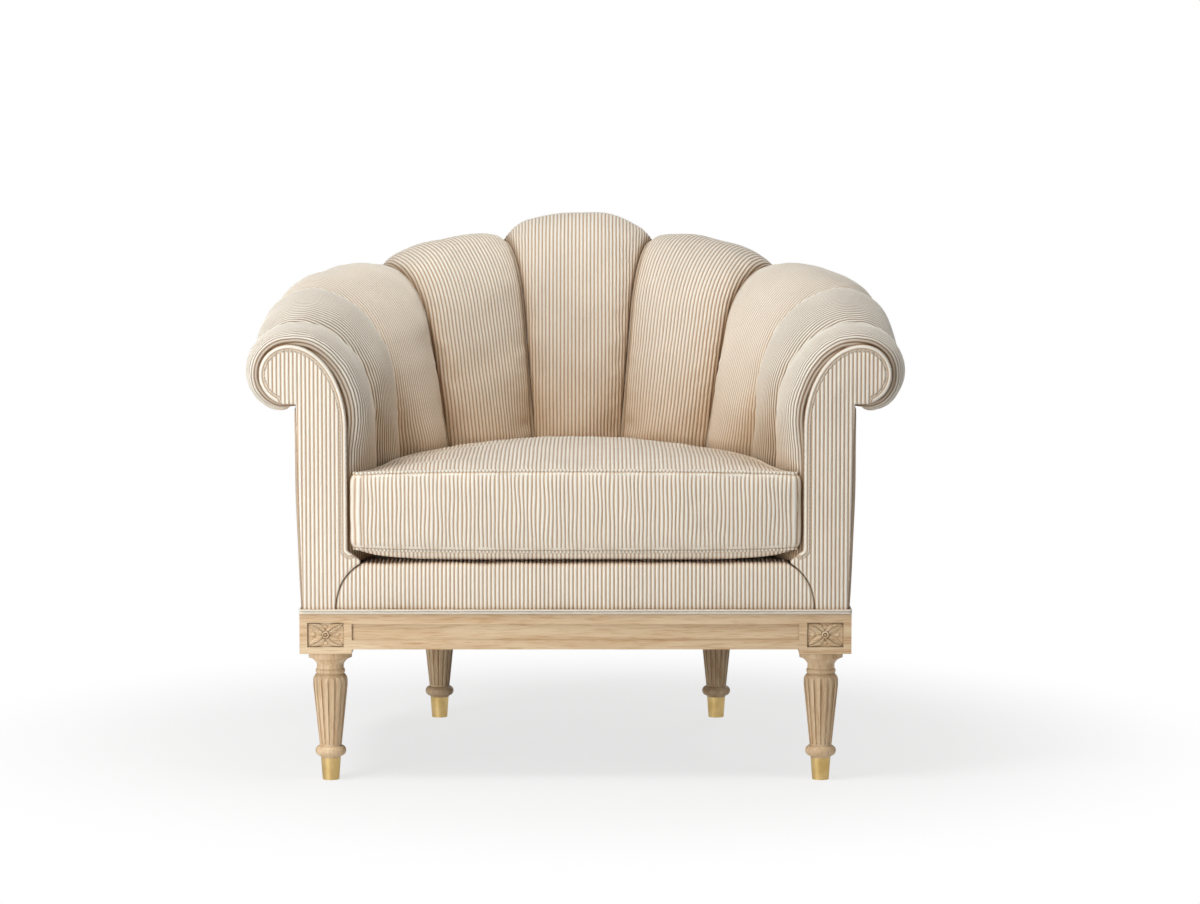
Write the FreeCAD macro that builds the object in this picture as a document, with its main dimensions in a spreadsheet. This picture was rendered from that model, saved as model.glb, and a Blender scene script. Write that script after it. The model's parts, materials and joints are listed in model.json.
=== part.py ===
"""Channel back armchair, as a parametric document in millimetres.

+Z is up, the front of the chair faces -Y, and +X is on the right of someone who looks at its front.
The origin is on the floor under the middle of the chair. Until the last step every depth is counted
backwards from the plane of the arm fronts, and then the whole chair moves to its middle.

A rib is a vertical plane that stands square to the inside of the back. Rib 0 is the back's centre line,
ribs 0.5, 1.5, 2.5, 3.5 and 4.5 are the seams of one half, and rib 4.5 is the front of the arm.
"""

import FreeCAD, Part
import Sketcher
import math
import os
from FreeCAD import Rotation, Vector

SIZES = (
    # Base outline: straight sides, a shoulder arc each side and a back arc
    ("base_half_width", 391.0, "half width of the show-wood base"),
    ("base_back", 670.0, "depth of the back of the base"),
    ("base_front", -6.0, "depth of the front of the base"),
    ("shoulder_side", 131.0, "distance of the shoulder arcs' centres from the middle"),
    ("back_radius", 600.0, "radius of the outline's back"),
    # Show-wood base
    ("base_top", 242.0, "height of the top of the base"),
    ("rail_drop", 50.0, "height of a base rail"),
    ("rail_thick", 28.0, "thickness of a base rail"),
    ("panel_low", 37.0, "bottom of the sunk panel below the base top"),
    ("panel_high", 14.0, "top of the sunk panel below the base top"),
    ("panel_sink", 3.0, "depth of the sunk panel"),
    ("block_half", 37.0, "half width of a corner block"),
    ("block_drop", 56.5, "height of a corner block"),
    ("rosette_half", 26.0, "half width of the rosette's sunk square"),
    ("rosette_low", 47.0, "bottom of the sunk square below the base top"),
    ("rosette_high", 12.0, "top of the sunk square below the base top"),
    ("rear_leg_side", 0.0, "distance of a rear leg's axis from the middle, set from the outline"),
    ("rear_leg_back", 0.0, "depth of a rear leg's axis, set from the outline"),
    # Turned leg, heights from the floor
    ("leg_shift", 4.0, "distance of a front leg's axis from its block's centre, towards the middle"),
    ("collar_low", 34.0, "bottom of the collar ring"),
    ("collar_middle", 41.5, "middle of the collar ring"),
    ("collar_high", 49.0, "top of the collar ring"),
    ("collar_radius", 22.0, "radius of the collar ring"),
    ("ankle_radius", 15.6, "radius of the shaft above the collar"),
    ("swell_low", 136.0, "height where the shaft stops widening"),
    ("swell_high", 144.0, "height where the shaft rounds over"),
    ("swell_radius", 24.5, "widest radius of the fluted shaft"),
    ("throat_low", 153.0, "bottom of the bead"),
    ("bead_middle", 157.0, "middle of the bead"),
    ("bead_radius", 21.0, "radius of the bead"),
    ("neck_low", 160.5, "bottom of the neck"),
    ("neck_high", 166.5, "top of the neck"),
    ("neck_radius", 19.3, "radius of the neck"),
    ("cap_radius", 31.0, "radius of the leg under its block"),
    ("cap_low", 176.5, "bottom of the leg's cap"),
    ("cove_reach", 22.6, "radius of the cove at half height"),
    ("cove_middle", 171.5, "height of the middle of the cove"),
    ("flute_count", 16.0, "number of flutes"),
    ("flute_radius", 2.7, "radius of a flute at its top"),
    ("flute_foot", 1.7, "radius of a flute at its foot"),
    ("flute_low", 52.0, "bottom of the flutes"),
    ("flute_high", 149.0, "top of the flutes"),
    ("bolt_radius", 4.0, "radius of the hanger bolt"),
    ("bolt_reach", 30.0, "length of the hanger bolt on each side of the joint"),
    # Brass ferrule
    ("ferrule_height", 32.0, "height of a ferrule"),
    ("ferrule_top", 14.25, "radius of a ferrule's rim"),
    ("ferrule_foot", 12.0, "radius of a ferrule's foot"),
    ("ferrule_wall", 1.2, "wall of a ferrule"),
    ("ferrule_floor", 1.5, "floor of a ferrule"),
    ("pin_radius", 1.0, "radius of the ferrule's cross pin"),
    ("pin_height", 24.0, "height of the cross pin"),
    ("fit_gap", 0.1, "clearance of a push fit"),
    # Seat frame and springs
    ("seat_rail_inset", 10.0, "distance of the seat rails inside the base outline"),
    ("seat_rail_thick", 28.0, "thickness of a seat rail"),
    ("seat_rail_height", 50.0, "height of a seat rail"),
    ("seat_rail_front", 5.0, "depth of the front face of the front seat rail"),
    ("seat_rail_split", 420.0, "depth of the joint between side and back rails"),
    ("brace_leg", 60.0, "leg of a corner brace"),
    ("brace_height", 36.0, "height of a corner brace"),
    ("spring_count", 4.0, "number of sinuous springs"),
    ("spring_pitch", 104.0, "distance between springs"),
    ("spring_wire", 1.9, "radius of the spring wire"),
    ("spring_half", 24.0, "half width of a spring"),
    ("spring_loops", 14.0, "half turns of a spring"),
    ("clip_width", 52.0, "width of a spring clip"),
    ("clip_depth", 14.0, "depth of a spring clip"),
    ("clip_height", 7.0, "height of a spring clip"),
    ("dust_sheet", 1.2, "thickness of the dust cover"),
    # Deck under the cushion
    ("deck_top", 315.0, "height of the deck"),
    ("deck_front_back", 60.0, "depth of the back of the deck's front border"),
    ("deck_edge_radius", 18.0, "rounding of the deck's front edge"),
    ("facing_width", 54.5, "width of an arm facing at its bottom"),
    ("deck_lap", 1.0, "half width of the front border's top beyond the seat's half width"),
    ("deck_crease", 298.0, "height where the front border stops narrowing"),
    ("deck_cloth", 1.7, "thickness of the decking cloth"),
    ("platform_sheet", 1.5, "thickness of the spring insulator"),
    # Inside of the back at seat height
    ("seat_height", 445.0, "height at which the back starts to lean"),
    ("arm_width", 70.0, "width of an arm at the seat"),
    ("seat_depth", 530.0, "depth of the inside back at seat height"),
    ("seat_roundness", 2.22, "exponent of the seat's plan curve"),
    ("centre_half", 68.5, "half width of the centre channel at seat height"),
    # Channels
    ("channel_foot", 315.4, "height of the foot of the channels"),
    ("channel_pad", 24.0, "thickness of a channel at its seams"),
    ("seam_gap", 1.4, "gap between two channels"),
    ("roll_radius", 44.0, "radius of the outward roll"),
    ("tack_reach", 14.0, "length of channel tacked under the roll"),
    ("notch_reach", 8.0, "distance of the outside panels inside the roll's centre line"),
    ("seam1_reach", 117.0, "seam 1: distance along the outline from the back's centre"),
    ("seam1_hang", -8.0, "seam 1: crest beyond the outline"),
    ("seam1_sweep", 67.0, "seam 1: outward sweep"),
    ("seam1_rise", 103.0, "seam 1: height of the sweep"),
    ("seam1_crest", 298.0, "seam 1: crest above the seat height"),
    ("seam2_reach", 316.0, "seam 2: distance along the outline from the back's centre"),
    ("seam2_hang", -4.0, "seam 2: crest beyond the outline"),
    ("seam2_sweep", 90.0, "seam 2: outward sweep"),
    ("seam2_rise", 84.0, "seam 2: height of the sweep"),
    ("seam2_crest", 261.0, "seam 2: crest above the seat height"),
    ("seam3_reach", 580.0, "seam 3: distance along the outline from the back's centre"),
    ("seam3_hang", 7.0, "seam 3: crest beyond the outline"),
    ("seam3_sweep", 99.0, "seam 3: outward sweep"),
    ("seam3_rise", 123.0, "seam 3: height of the sweep"),
    ("seam3_crest", 232.0, "seam 3: crest above the seat height"),
    ("seam4_reach", 778.0, "seam 4: distance along the outline from the back's centre"),
    ("seam4_hang", 15.0, "seam 4: crest beyond the outline"),
    ("seam4_sweep", 85.0, "seam 4: outward sweep"),
    ("seam4_rise", 120.0, "seam 4: height of the sweep"),
    ("seam4_crest", 187.0, "seam 4: crest above the seat height"),
    ("seam5_hang", 13.0, "arm front: crest beyond the outline"),
    ("seam5_sweep", 83.0, "arm front: outward sweep"),
    ("seam5_rise", 122.0, "arm front: height of the sweep"),
    ("seam5_crest", 181.0, "arm front: crest above the seat height"),
    ("bulge0_face", 28.0, "centre channel: bulge of its face"),
    ("bulge0_top", 45.0, "centre channel: bulge at its crest"),
    ("bulge0_out", 19.0, "centre channel: bulge behind the roll"),
    ("bulge1_face", 32.0, "channel 1: bulge of its face"),
    ("bulge1_top", 24.0, "channel 1: bulge at its crest"),
    ("bulge1_out", 18.0, "channel 1: bulge behind the roll"),
    ("bulge2_face", 35.0, "channel 2: bulge of its face"),
    ("bulge2_top", 15.0, "channel 2: bulge at its crest"),
    ("bulge2_out", 15.0, "channel 2: bulge behind the roll"),
    ("bulge3_face", 34.0, "channel 3: bulge of its face"),
    ("bulge3_top", 22.0, "channel 3: bulge at its crest"),
    ("bulge3_out", 23.0, "channel 3: bulge behind the roll"),
    ("bulge4_face", 32.0, "channel 4: bulge of its face"),
    ("bulge4_top", 18.0, "channel 4: bulge at its crest"),
    ("bulge4_out", 20.0, "channel 4: bulge behind the roll"),
    # Back and arm frame
    ("stump_thick", 24.0, "thickness of an arm stump"),
    ("former_thick", 20.0, "thickness of a back former"),
    ("frame_rail_top", 52.0, "top of the arm and crest rails below the crest"),
    ("frame_rail_bottom", 112.0, "bottom of the arm and crest rails below the crest"),
    ("backing_gap", 2.5, "gap between the channels and their backing"),
    ("backing_sheet", 1.6, "thickness of the backing cloth"),
    ("rail_gap", 2.0, "gap between the backing cloth and the arm and crest rails"),
    ("tack_gap", 3.0, "gap between the channels' tacked ends and the arm and crest rails"),
    ("former_gap", 5.0, "gap between the backing cloth and the formers' straight front edges"),
    ("former_drop", 2.6, "distance of the formers' tops below the sloping rails"),
    ("stump_gap", 1.8, "gap between the channels and the arm stumps"),
    ("piece_gap", 0.3, "gap between upholstered pieces"),
    # Facings, outside panels and welt
    ("facing_thick", 5.0, "thickness of an arm facing"),
    ("facing_inset", 1.6, "distance of the facing's edge inside the front seam"),
    ("facing_round", 2.5, "rounding of the facing's edge"),
    ("outside_inset", 3.0, "distance of the outside panels inside the base outline"),
    ("outside_thick", 5.0, "thickness of an outside panel"),
    ("outside_drop", 5.0, "distance of the outside panels' tops below the tack line"),
    ("welt_height", 7.0, "height of the double welt"),
    ("welt_thick", 3.4, "thickness of the double welt"),
    # Loose seat cushion
    ("cushion_seam_high", 441.0, "height of the top seam"),
    ("cushion_seam_low", 335.5, "height of the bottom seam"),
    ("cushion_crown", 24.0, "crown of the top panel in its middle"),
    ("cushion_side", 3.0, "bulge of the border between its seams"),
    ("cushion_front_room", 5.5, "room beside the cushion at its front seam"),
    ("cushion_cheek_room", 23.0, "room beside the cushion behind its front corners"),
    ("cushion_cheek_depth", 20.0, "depth of that half width"),
    ("cushion_waist_room", 38.4, "room beside the cushion between the front channels"),
    ("cushion_waist_depth", 72.0, "depth of that half width"),
    ("cushion_middle_room", 65.0, "room beside the cushion between the next channels"),
    ("cushion_middle_depth", 225.0, "depth of that half width"),
    ("cushion_hip_room", 118.0, "room beside the cushion between the shoulder channels"),
    ("cushion_hip_depth", 360.0, "depth of that half width"),
    ("cushion_front_face", 7.0, "bulge of the front border"),
    ("cushion_rear_room", 120.0, "radius of the cushion's rear less than the seat's half width"),
    ("cushion_rear", 490.0, "depth of the rear of the cushion"),
    ("cover_cloth", 2.5, "thickness of the cushion cover"),
    ("core_gap", 0.7, "gap between the cushion's core and its cover"),
    ("zip_half_angle", 28.0, "half angle of the zip along the rear border, in degrees"),
    ("zip_gap", 1.8, "distance of the zip tape outside the cushion's rear arc"),
    ("zip_height", 22.0, "height of the zip tape"),
    ("zip_thick", 1.4, "thickness of the zip tape"),
    ("zip_start", -23.0, "angle of the closed slider, in degrees"),
    ("slider_width", 9.0, "width of the zip slider"),
    ("slider_height", 14.0, "height of the zip slider"),
    ("slider_thick", 2.6, "thickness of the zip slider"),
    # Place of the origin, set at the end from the finished chair
    ("middle_depth", 0.0, "depth of the middle of the chair"),
)

doc = FreeCAD.newDocument("ChannelBackArmchair")
sheet = doc.addObject("Spreadsheet::Sheet", "Sizes")
for row, (alias, amount, note) in enumerate(SIZES, start=1):
    sheet.set(f"A{row}", note)
    sheet.set(f"B{row}", f"{amount:g}")
    sheet.setAlias(f"B{row}", alias)
doc.recompute()

nodes = []


def size(alias):
    """Value of one cell of the sheet."""
    return float(sheet.get(alias))


def set_size(alias, amount):
    """Write one cell of the sheet that follows from the others."""
    row = [name for name, _, _ in SIZES].index(alias) + 1
    sheet.set(f"B{row}", f"{amount:.6f}")
    doc.recompute()


# Formulas: words of the sheet and plain numbers with + and - between them


def terms(formula):
    """Signed words of a formula such as 'base_top - rail_drop'."""
    sign = 1.0
    for word in formula.split():
        if word in ("+", "-"):
            sign = 1.0 if word == "+" else -1.0
        else:
            yield sign, word
            sign = 1.0


def value_of(formula):
    """Number that a formula gives with the sheet's present values."""
    return sum(sign * (float(word) if word[0].isdigit() else size(word)) for sign, word in terms(formula))


def expression_of(formula):
    """The same formula in the document's own expression language."""
    parts = []
    for sign, word in terms(formula):
        parts.append("+" if sign > 0 else "-")
        parts.append(word if word[0].isdigit() else f"Sizes.{word}")
    return " ".join(parts)


# Nodes: every finished piece, with its label and place


def keep(piece, label, across="0", back="0", up="0", turn=None):
    """Name a piece and bind its place to the sheet."""
    piece.Label = label
    if turn is not None:
        piece.Placement.Rotation = Rotation(Vector(0, 0, 1), turn)
    piece.setExpression(".Placement.Base.x", expression_of(across))
    piece.setExpression(".Placement.Base.y", expression_of(back + " - middle_depth"))
    piece.setExpression(".Placement.Base.z", expression_of(up))
    nodes.append(piece)
    return piece


def keep_shape(shape, label):
    """Keep a piece whose shape comes from the functions below."""
    piece = doc.addObject("Part::Feature", label)
    piece.Shape = shape
    return keep(piece, label)


def keep_mirrored(piece, label):
    """Keep the same piece on the other side of the chair."""
    twin = doc.addObject("Part::Mirroring", label)
    twin.Source = piece
    twin.Normal = Vector(1, 0, 0)
    twin.Label = label
    nodes.append(twin)
    return twin


# Sketches whose corners are bound to the sheet


def plane_of(body, role):
    """One of a body's own origin planes or axes."""
    return next(feature for feature in body.Origin.OriginFeatures if feature.Role == role)


def new_sketch(body, name, role, height=None):
    """Sketch on an origin plane of its body, raised by a formula."""
    sketch = body.newObject("Sketcher::SketchObject", name)
    sketch.AttachmentSupport = (plane_of(body, role), [""])
    sketch.MapMode = "FlatFace"
    if height is not None:
        sketch.setExpression(".AttachmentOffset.Base.z", expression_of(height))
    return sketch


def pins(geometry, position, across, up):
    """Constraints that hold one point of a sketch at two formulas, each with its formula."""
    for kind, axis, formula in (("DistanceX", -2, across), ("DistanceY", -1, up)):
        if formula == "0":
            yield Sketcher.Constraint("PointOnObject", geometry, position, axis), None
        else:
            yield Sketcher.Constraint(kind, -1, 1, geometry, position, value_of(formula)), formula


def hold(sketch, pairs):
    """Add constraints in one go and bind them to their formulas."""
    indexes = sketch.addConstraint([constraint for constraint, _ in pairs])
    for index, (_, formula) in zip(indexes, pairs):
        if formula is not None:
            sketch.setExpression(f"Constraints[{index}]", expression_of(formula))


def draw_outline(sketch, corners):
    """Closed outline. A corner's third entry is a point on the arc that leads to the next corner."""
    spots = [Vector(value_of(corner[0]), value_of(corner[1]), 0) for corner in corners]
    edges = []
    for index, corner in enumerate(corners):
        here = spots[index]
        there = spots[(index + 1) % len(spots)]
        if len(corner) == 2:
            edges.append((sketch.addGeometry(Part.LineSegment(here, there), False), 1, 2))
            continue
        via = Vector(value_of(corner[2][0]), value_of(corner[2][1]), 0)
        arc = sketch.addGeometry(Part.Arc(here, via, there), False)
        counterclockwise = (via - here).cross(there - here).z > 0
        edges.append((arc, 1, 2) if counterclockwise else (arc, 2, 1))
    pairs = []
    for index, corner in enumerate(corners):
        edge, start, end = edges[index]
        after, after_start, _ = edges[(index + 1) % len(edges)]
        pairs.append((Sketcher.Constraint("Coincident", edge, end, after, after_start), None))
        pairs.extend(pins(edge, start, corner[0], corner[1]))
        if len(corner) == 3:
            via = Vector(value_of(corner[2][0]), value_of(corner[2][1]), 0)
            mark = sketch.addGeometry(Part.Point(via), True)
            pairs.append((Sketcher.Constraint("PointOnObject", mark, 1, edge), None))
            pairs.extend(pins(mark, 1, corner[2][0], corner[2][1]))
    hold(sketch, pairs)


def draw_circle(sketch, across, up, radius):
    """Circle with its centre and radius bound to formulas."""
    centre = Vector(value_of(across), value_of(up), 0)
    circle = sketch.addGeometry(Part.Circle(centre, Vector(0, 0, 1), value_of(radius)), False)
    pairs = list(pins(circle, 3, across, up))
    pairs.append((Sketcher.Constraint("Radius", circle, value_of(radius)), radius))
    hold(sketch, pairs)


def rectangle(left, right, low, high):
    """Corners of a rectangle."""
    return [(left, low), (right, low), (right, high), (left, high)]


def add_pad(body, sketch, length, symmetric=False, backwards=False):
    """Pad of a sketch, to both sides of it when it is symmetric."""
    pad = body.newObject("PartDesign::Pad", sketch.Name + "Pad")
    pad.Profile = sketch
    pad.setExpression("Length", length)
    if symmetric:
        pad.SideType = "Symmetric"
    pad.Reversed = backwards
    doc.recompute()
    return pad


def add_pocket(body, sketch, depth=None, backwards=False):
    """Pocket of a sketch, right through the piece when it has no depth."""
    before = body.Shape.Volume
    pocket = body.newObject("PartDesign::Pocket", sketch.Name + "Pocket")
    pocket.Profile = sketch
    if depth is None:
        pocket.Type = "ThroughAll"
        pocket.SideType = "Symmetric"
    else:
        pocket.setExpression("Length", depth)
        pocket.Reversed = backwards
    doc.recompute()
    if body.Shape.Volume > before - 1e-3:
        raise RuntimeError(f"{body.Label}: {sketch.Name} cuts nothing")
    return pocket


def add_turning(body, sketch):
    """Revolution of a sketch about its vertical axis."""
    turning = body.newObject("PartDesign::Revolution", sketch.Name + "Turning")
    turning.Profile = sketch
    turning.ReferenceAxis = (sketch, ["V_Axis"])
    turning.Angle = 360.0
    doc.recompute()
    return turning


# Outline of the base, seen from above


def shoulder_radius():
    """Radius of the outline's shoulders."""
    return size("base_half_width") - size("shoulder_side")


def outline_centres():
    """Centres of the shoulder arc and the back arc, and the angle where they meet."""
    back = Vector(0, size("base_back") - size("back_radius"), 0)
    side = size("shoulder_side")
    reach = math.sqrt((size("back_radius") - shoulder_radius()) ** 2 - side**2)
    shoulder = Vector(side, back.y + reach, 0)
    return shoulder, back, math.atan2(side, reach)


def outline_length():
    """Distance along the outline from the back's centre to the plane of the arm fronts."""
    shoulder, _, meet = outline_centres()
    return size("back_radius") * meet + shoulder_radius() * (math.pi / 2 - meet) + shoulder.y


def outline_point(reach):
    """Point of the right half of the outline and its outward direction."""
    shoulder, back, meet = outline_centres()
    back_arc = size("back_radius") * meet
    shoulder_arc = shoulder_radius() * (math.pi / 2 - meet)
    if reach < back_arc:
        angle = reach / size("back_radius")
        centre, radius = back, size("back_radius")
    elif reach < back_arc + shoulder_arc:
        angle = meet + (reach - back_arc) / shoulder_radius()
        centre, radius = shoulder, shoulder_radius()
    else:
        depth = shoulder.y - (reach - back_arc - shoulder_arc)
        return Vector(size("base_half_width"), depth, 0), Vector(1, 0, 0)
    outward = Vector(math.sin(angle), math.cos(angle), 0)
    return centre + outward * radius, outward


def outline_face(inset, front, height):
    """Flat D-shaped face inside the outline."""
    shoulder, back, meet = outline_centres()
    rise = Vector(0, 0, height)

    def spot(centre, radius, angle, side):
        return Vector(side * (centre.x + radius * math.sin(angle)), centre.y + radius * math.cos(angle), 0) + rise

    small = shoulder_radius() - inset
    large = size("back_radius") - inset
    half = (meet + math.pi / 2) / 2
    corners = [Vector(shoulder.x + small, front, height), spot(shoulder, small, math.pi / 2, 1)]
    edges = [Part.LineSegment(*corners).toShape()]
    right_meet = spot(back, large, meet, 1)
    left_meet = spot(back, large, meet, -1)
    left = spot(shoulder, small, math.pi / 2, -1)
    edges.append(Part.Arc(corners[1], spot(shoulder, small, half, 1), right_meet).toShape())
    edges.append(Part.Arc(right_meet, spot(back, large, 0, 1), left_meet).toShape())
    edges.append(Part.Arc(left_meet, spot(shoulder, small, half, -1), left).toShape())
    last = Vector(-shoulder.x - small, front, height)
    edges.append(Part.LineSegment(left, last).toShape())
    edges.append(Part.LineSegment(last, corners[0]).toShape())
    return Part.Face(Part.Wire(edges))


def outline_band(outer, inner, front, low, high):
    """Upright band between two insets, open at the front."""
    tall = Vector(0, 0, high - low)
    outside = outline_face(outer, front, low).extrude(tall)
    inside = outline_face(inner, front - 50.0, low - 5.0).extrude(tall + Vector(0, 0, 10))
    return outside.cut(inside)


def by_side(solids):
    """Solids sorted from the left of the chair to its right."""
    return sorted(solids, key=lambda solid: solid.CenterOfMass.x)


# Ribs


def seat_half():
    """Half width between the arms."""
    return size("base_half_width") - size("arm_width")


def seat_curve_point(share):
    """Point of the seat's plan curve, share 0 at the back's centre and 1 at the arm front."""
    angle = share * math.pi / 2
    power = 2.0 / size("seat_roundness")
    return Vector(
        seat_half() * math.sin(angle) ** power,
        size("seat_depth") * max(math.cos(angle), 0.0) ** power,
        0,
    )


SEAT_CURVE_STEPS = 600


def seat_curve_table():
    """Distance along the plan curve at even shares of its angle."""
    lengths = [0.0]
    last = seat_curve_point(0)
    for step in range(1, SEAT_CURVE_STEPS + 1):
        point = seat_curve_point(step / SEAT_CURVE_STEPS)
        lengths.append(lengths[-1] + (point - last).Length)
        last = point
    return lengths


def between(value, knots, results):
    """Straight interpolation in a short table."""
    for index in range(len(knots) - 1):
        if value <= knots[index + 1]:
            break
    span = (value - knots[index]) / (knots[index + 1] - knots[index])
    return results[index] + span * (results[index + 1] - results[index])


SEAT_LENGTHS = seat_curve_table()
SEAT_SHARES = [step / SEAT_CURVE_STEPS for step in range(SEAT_CURVE_STEPS + 1)]
SIDE_CHANNELS = 4
RIB_KNOTS = [0.0] + [0.5 + seam for seam in range(SIDE_CHANNELS + 1)]


def seam_values(word):
    """Values of one kind at the rib knots."""
    values = [size(f"seam{seam}_{word}") for seam in range(1, SIDE_CHANNELS + 1)]
    if word == "reach":
        return [0.0] + values + [outline_length()]
    return [values[0]] + values + [size(f"seam{SIDE_CHANNELS + 1}_{word}")]


class Rib:
    """Vertical plane through the back with the channel's wall, crest and roll drawn in it."""

    def __init__(self, place):
        half = size("centre_half")
        step = (SEAT_LENGTHS[-1] - half) / SIDE_CHANNELS
        knots = [0.0] + [half + step * seam for seam in range(SIDE_CHANNELS + 1)]
        side = -1 if place < 0 else 1
        place = abs(place)
        length = between(place, RIB_KNOTS, knots)
        self.root = seat_curve_point(between(length, SEAT_LENGTHS, SEAT_SHARES))
        spot, outward = outline_point(between(place, RIB_KNOTS, seam_values("reach")))
        crest = spot + outward * between(place, RIB_KNOTS, seam_values("hang"))
        self.sweep = between(place, RIB_KNOTS, seam_values("sweep"))
        self.rise = between(place, RIB_KNOTS, seam_values("rise"))
        self.crest = size("seat_height") + between(place, RIB_KNOTS, seam_values("crest"))
        self.reach = (crest - self.root).Length
        self.away = (crest - self.root).normalize()
        self.lean = (self.reach - self.sweep) / (self.crest - size("seat_height"))
        self.root.x *= side
        self.away.x *= side

    def point(self, out, height):
        """Point of the plane at a distance out from the seat curve."""
        return self.root + self.away * out + Vector(0, 0, height)

    def direction(self, out, up):
        """Direction in the plane."""
        return self.away * out + Vector(0, 0, up)

    def wall(self, height):
        """Distance out and normal of the inner wall at a height."""
        if height <= size("seat_height"):
            return 0.0, (-1.0, 0.0)
        start = self.crest - self.rise
        out = self.lean * (height - size("seat_height"))
        if height <= start:
            slope = math.hypot(1.0, self.lean)
            return out, (-1.0 / slope, self.lean / slope)
        angle = math.asin(min((height - start) / self.rise, 1.0))
        return self.sweep_at(angle)[0], self.sweep_at(angle)[2]

    def sweep_at(self, angle):
        """Distance out, height and normal where the wall sweeps out to its crest."""
        height = self.crest - self.rise + self.rise * math.sin(angle)
        out = self.lean * (height - size("seat_height")) + self.sweep * (1.0 - math.cos(angle))
        run = self.lean * self.rise * math.cos(angle) + self.sweep * math.sin(angle)
        climb = self.rise * math.cos(angle)
        length = math.hypot(run, climb)
        return out, height, (-climb / length, run / length)

    def roll_at(self, angle):
        """Distance out, height and normal on the roll, 90 degrees at the crest."""
        radius = size("roll_radius")
        across, up = math.cos(angle), math.sin(angle)
        return self.reach + radius * across, self.crest - radius + radius * up, (across, up)

    def behind(self, depth, height):
        """Distance out of the surface that lies a depth behind the wall, at a height."""
        low, high = height - depth, height + depth
        for _ in range(40):
            middle = (low + high) / 2
            _, (_, up) = self.wall(middle)
            if middle - depth * up < height:
                low = middle
            else:
                high = middle
        out, (across, _) = self.wall((low + high) / 2)
        return out - depth * across

    def outline_reach(self):
        """Distance out to the base outline, in this plane."""
        low, high = 0.0, 400.0
        for _ in range(40):
            middle = (low + high) / 2
            low, high = (middle, high) if self.inside(self.point(middle, 0)) else (low, middle)
        return low

    def inside(self, spot):
        """Whether a point seen from above lies within the base outline."""
        shoulder, back, meet = outline_centres()
        across = abs(spot.x)
        if spot.y <= shoulder.y:
            return across <= size("base_half_width")
        if math.atan2(across, spot.y - back.y) < meet:
            return math.hypot(across, spot.y - back.y) <= size("back_radius")
        return math.hypot(across - shoulder.x, spot.y - shoulder.y) <= shoulder_radius()


def polygon(points):
    """Closed wire through points."""
    return Part.makePolygon(list(points) + [points[0]])


def rib_polygon(rib, corners):
    """Closed wire in a rib's plane from pairs of distance out and height."""
    return polygon([rib.point(out, height) for out, height in corners])


def rib_board(rib, corners, thick):
    """Flat board that stands in a rib's plane."""
    along = Vector(rib.away.y, -rib.away.x, 0) * thick
    wire = rib_polygon(rib, corners)
    wire.translate(along * -0.5)
    return Part.Face(wire).extrude(along)


def rib_loft(places, corners_of):
    """Solid through the same corners at several ribs."""
    wires = []
    for place in places:
        rib = Rib(place)
        wires.append(rib_polygon(rib, corners_of(rib)))
    return Part.makeLoft(wires, True, True)


def places(first, last, step=0.25):
    """Rib places from first to last."""
    count = max(1, round(abs(last - first) / step))
    return [first + (last - first) * index / count for index in range(count + 1)]


# Show-wood base and legs


def build_leg(label, across, back, turn=None):
    """Turned and fluted leg with a tenon for its ferrule and a hole for its bolt."""
    body = doc.addObject("PartDesign::Body", label)
    sketch = new_sketch(body, label + "_profile", "XZ_Plane")
    tenon_foot = "ferrule_foot - ferrule_wall - fit_gap"
    tenon_top = "ferrule_top - ferrule_wall - fit_gap"
    draw_outline(
        sketch,
        [
            ("0", "ferrule_floor + fit_gap"),
            (tenon_foot, "ferrule_floor + fit_gap"),
            (tenon_top, "ferrule_height + fit_gap"),
            ("ferrule_top", "ferrule_height + fit_gap"),
            ("ankle_radius", "collar_low", ("collar_radius", "collar_middle")),
            ("ankle_radius", "collar_high"),
            ("swell_radius", "swell_low"),
            ("swell_radius", "swell_high", ("swell_radius - 1.6", "swell_high + 5")),
            ("neck_radius", "throat_low", ("bead_radius", "bead_middle")),
            ("neck_radius", "neck_low"),
            ("neck_radius", "neck_high", ("cove_reach", "cove_middle")),
            ("cap_radius", "cap_low"),
            ("cap_radius", "base_top - block_drop"),
            ("bolt_radius + fit_gap", "base_top - block_drop"),
            ("bolt_radius + fit_gap", "base_top - block_drop - bolt_reach - 1"),
            ("0", "base_top - block_drop - bolt_reach - 1"),
        ],
    )
    add_turning(body, sketch)
    foot = new_sketch(body, label + "_flute_foot", "XY_Plane", "flute_low")
    draw_circle(foot, "ankle_radius + 0.5", "0", "flute_foot")
    top = new_sketch(body, label + "_flute_top", "XY_Plane", "flute_high")
    draw_circle(top, "swell_radius + 0.7", "0", "flute_radius")
    flute = body.newObject("PartDesign::SubtractiveLoft", label + "_flute")
    flute.Profile = foot
    flute.Sections = [top]
    doc.recompute()
    flutes = body.newObject("PartDesign::PolarPattern", label + "_flutes")
    flutes.Originals = [flute]
    flutes.Axis = (plane_of(body, "Z_Axis"), [""])
    flutes.Angle = 360.0
    flutes.setExpression("Occurrences", "Sizes.flute_count")
    body.Tip = flutes
    doc.recompute()
    hole = new_sketch(body, label + "_pin_hole", "XZ_Plane")
    draw_circle(hole, "0", "pin_height", "pin_radius + fit_gap")
    add_pocket(body, hole)
    return keep(body, label, across, back, turn=turn)


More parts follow.
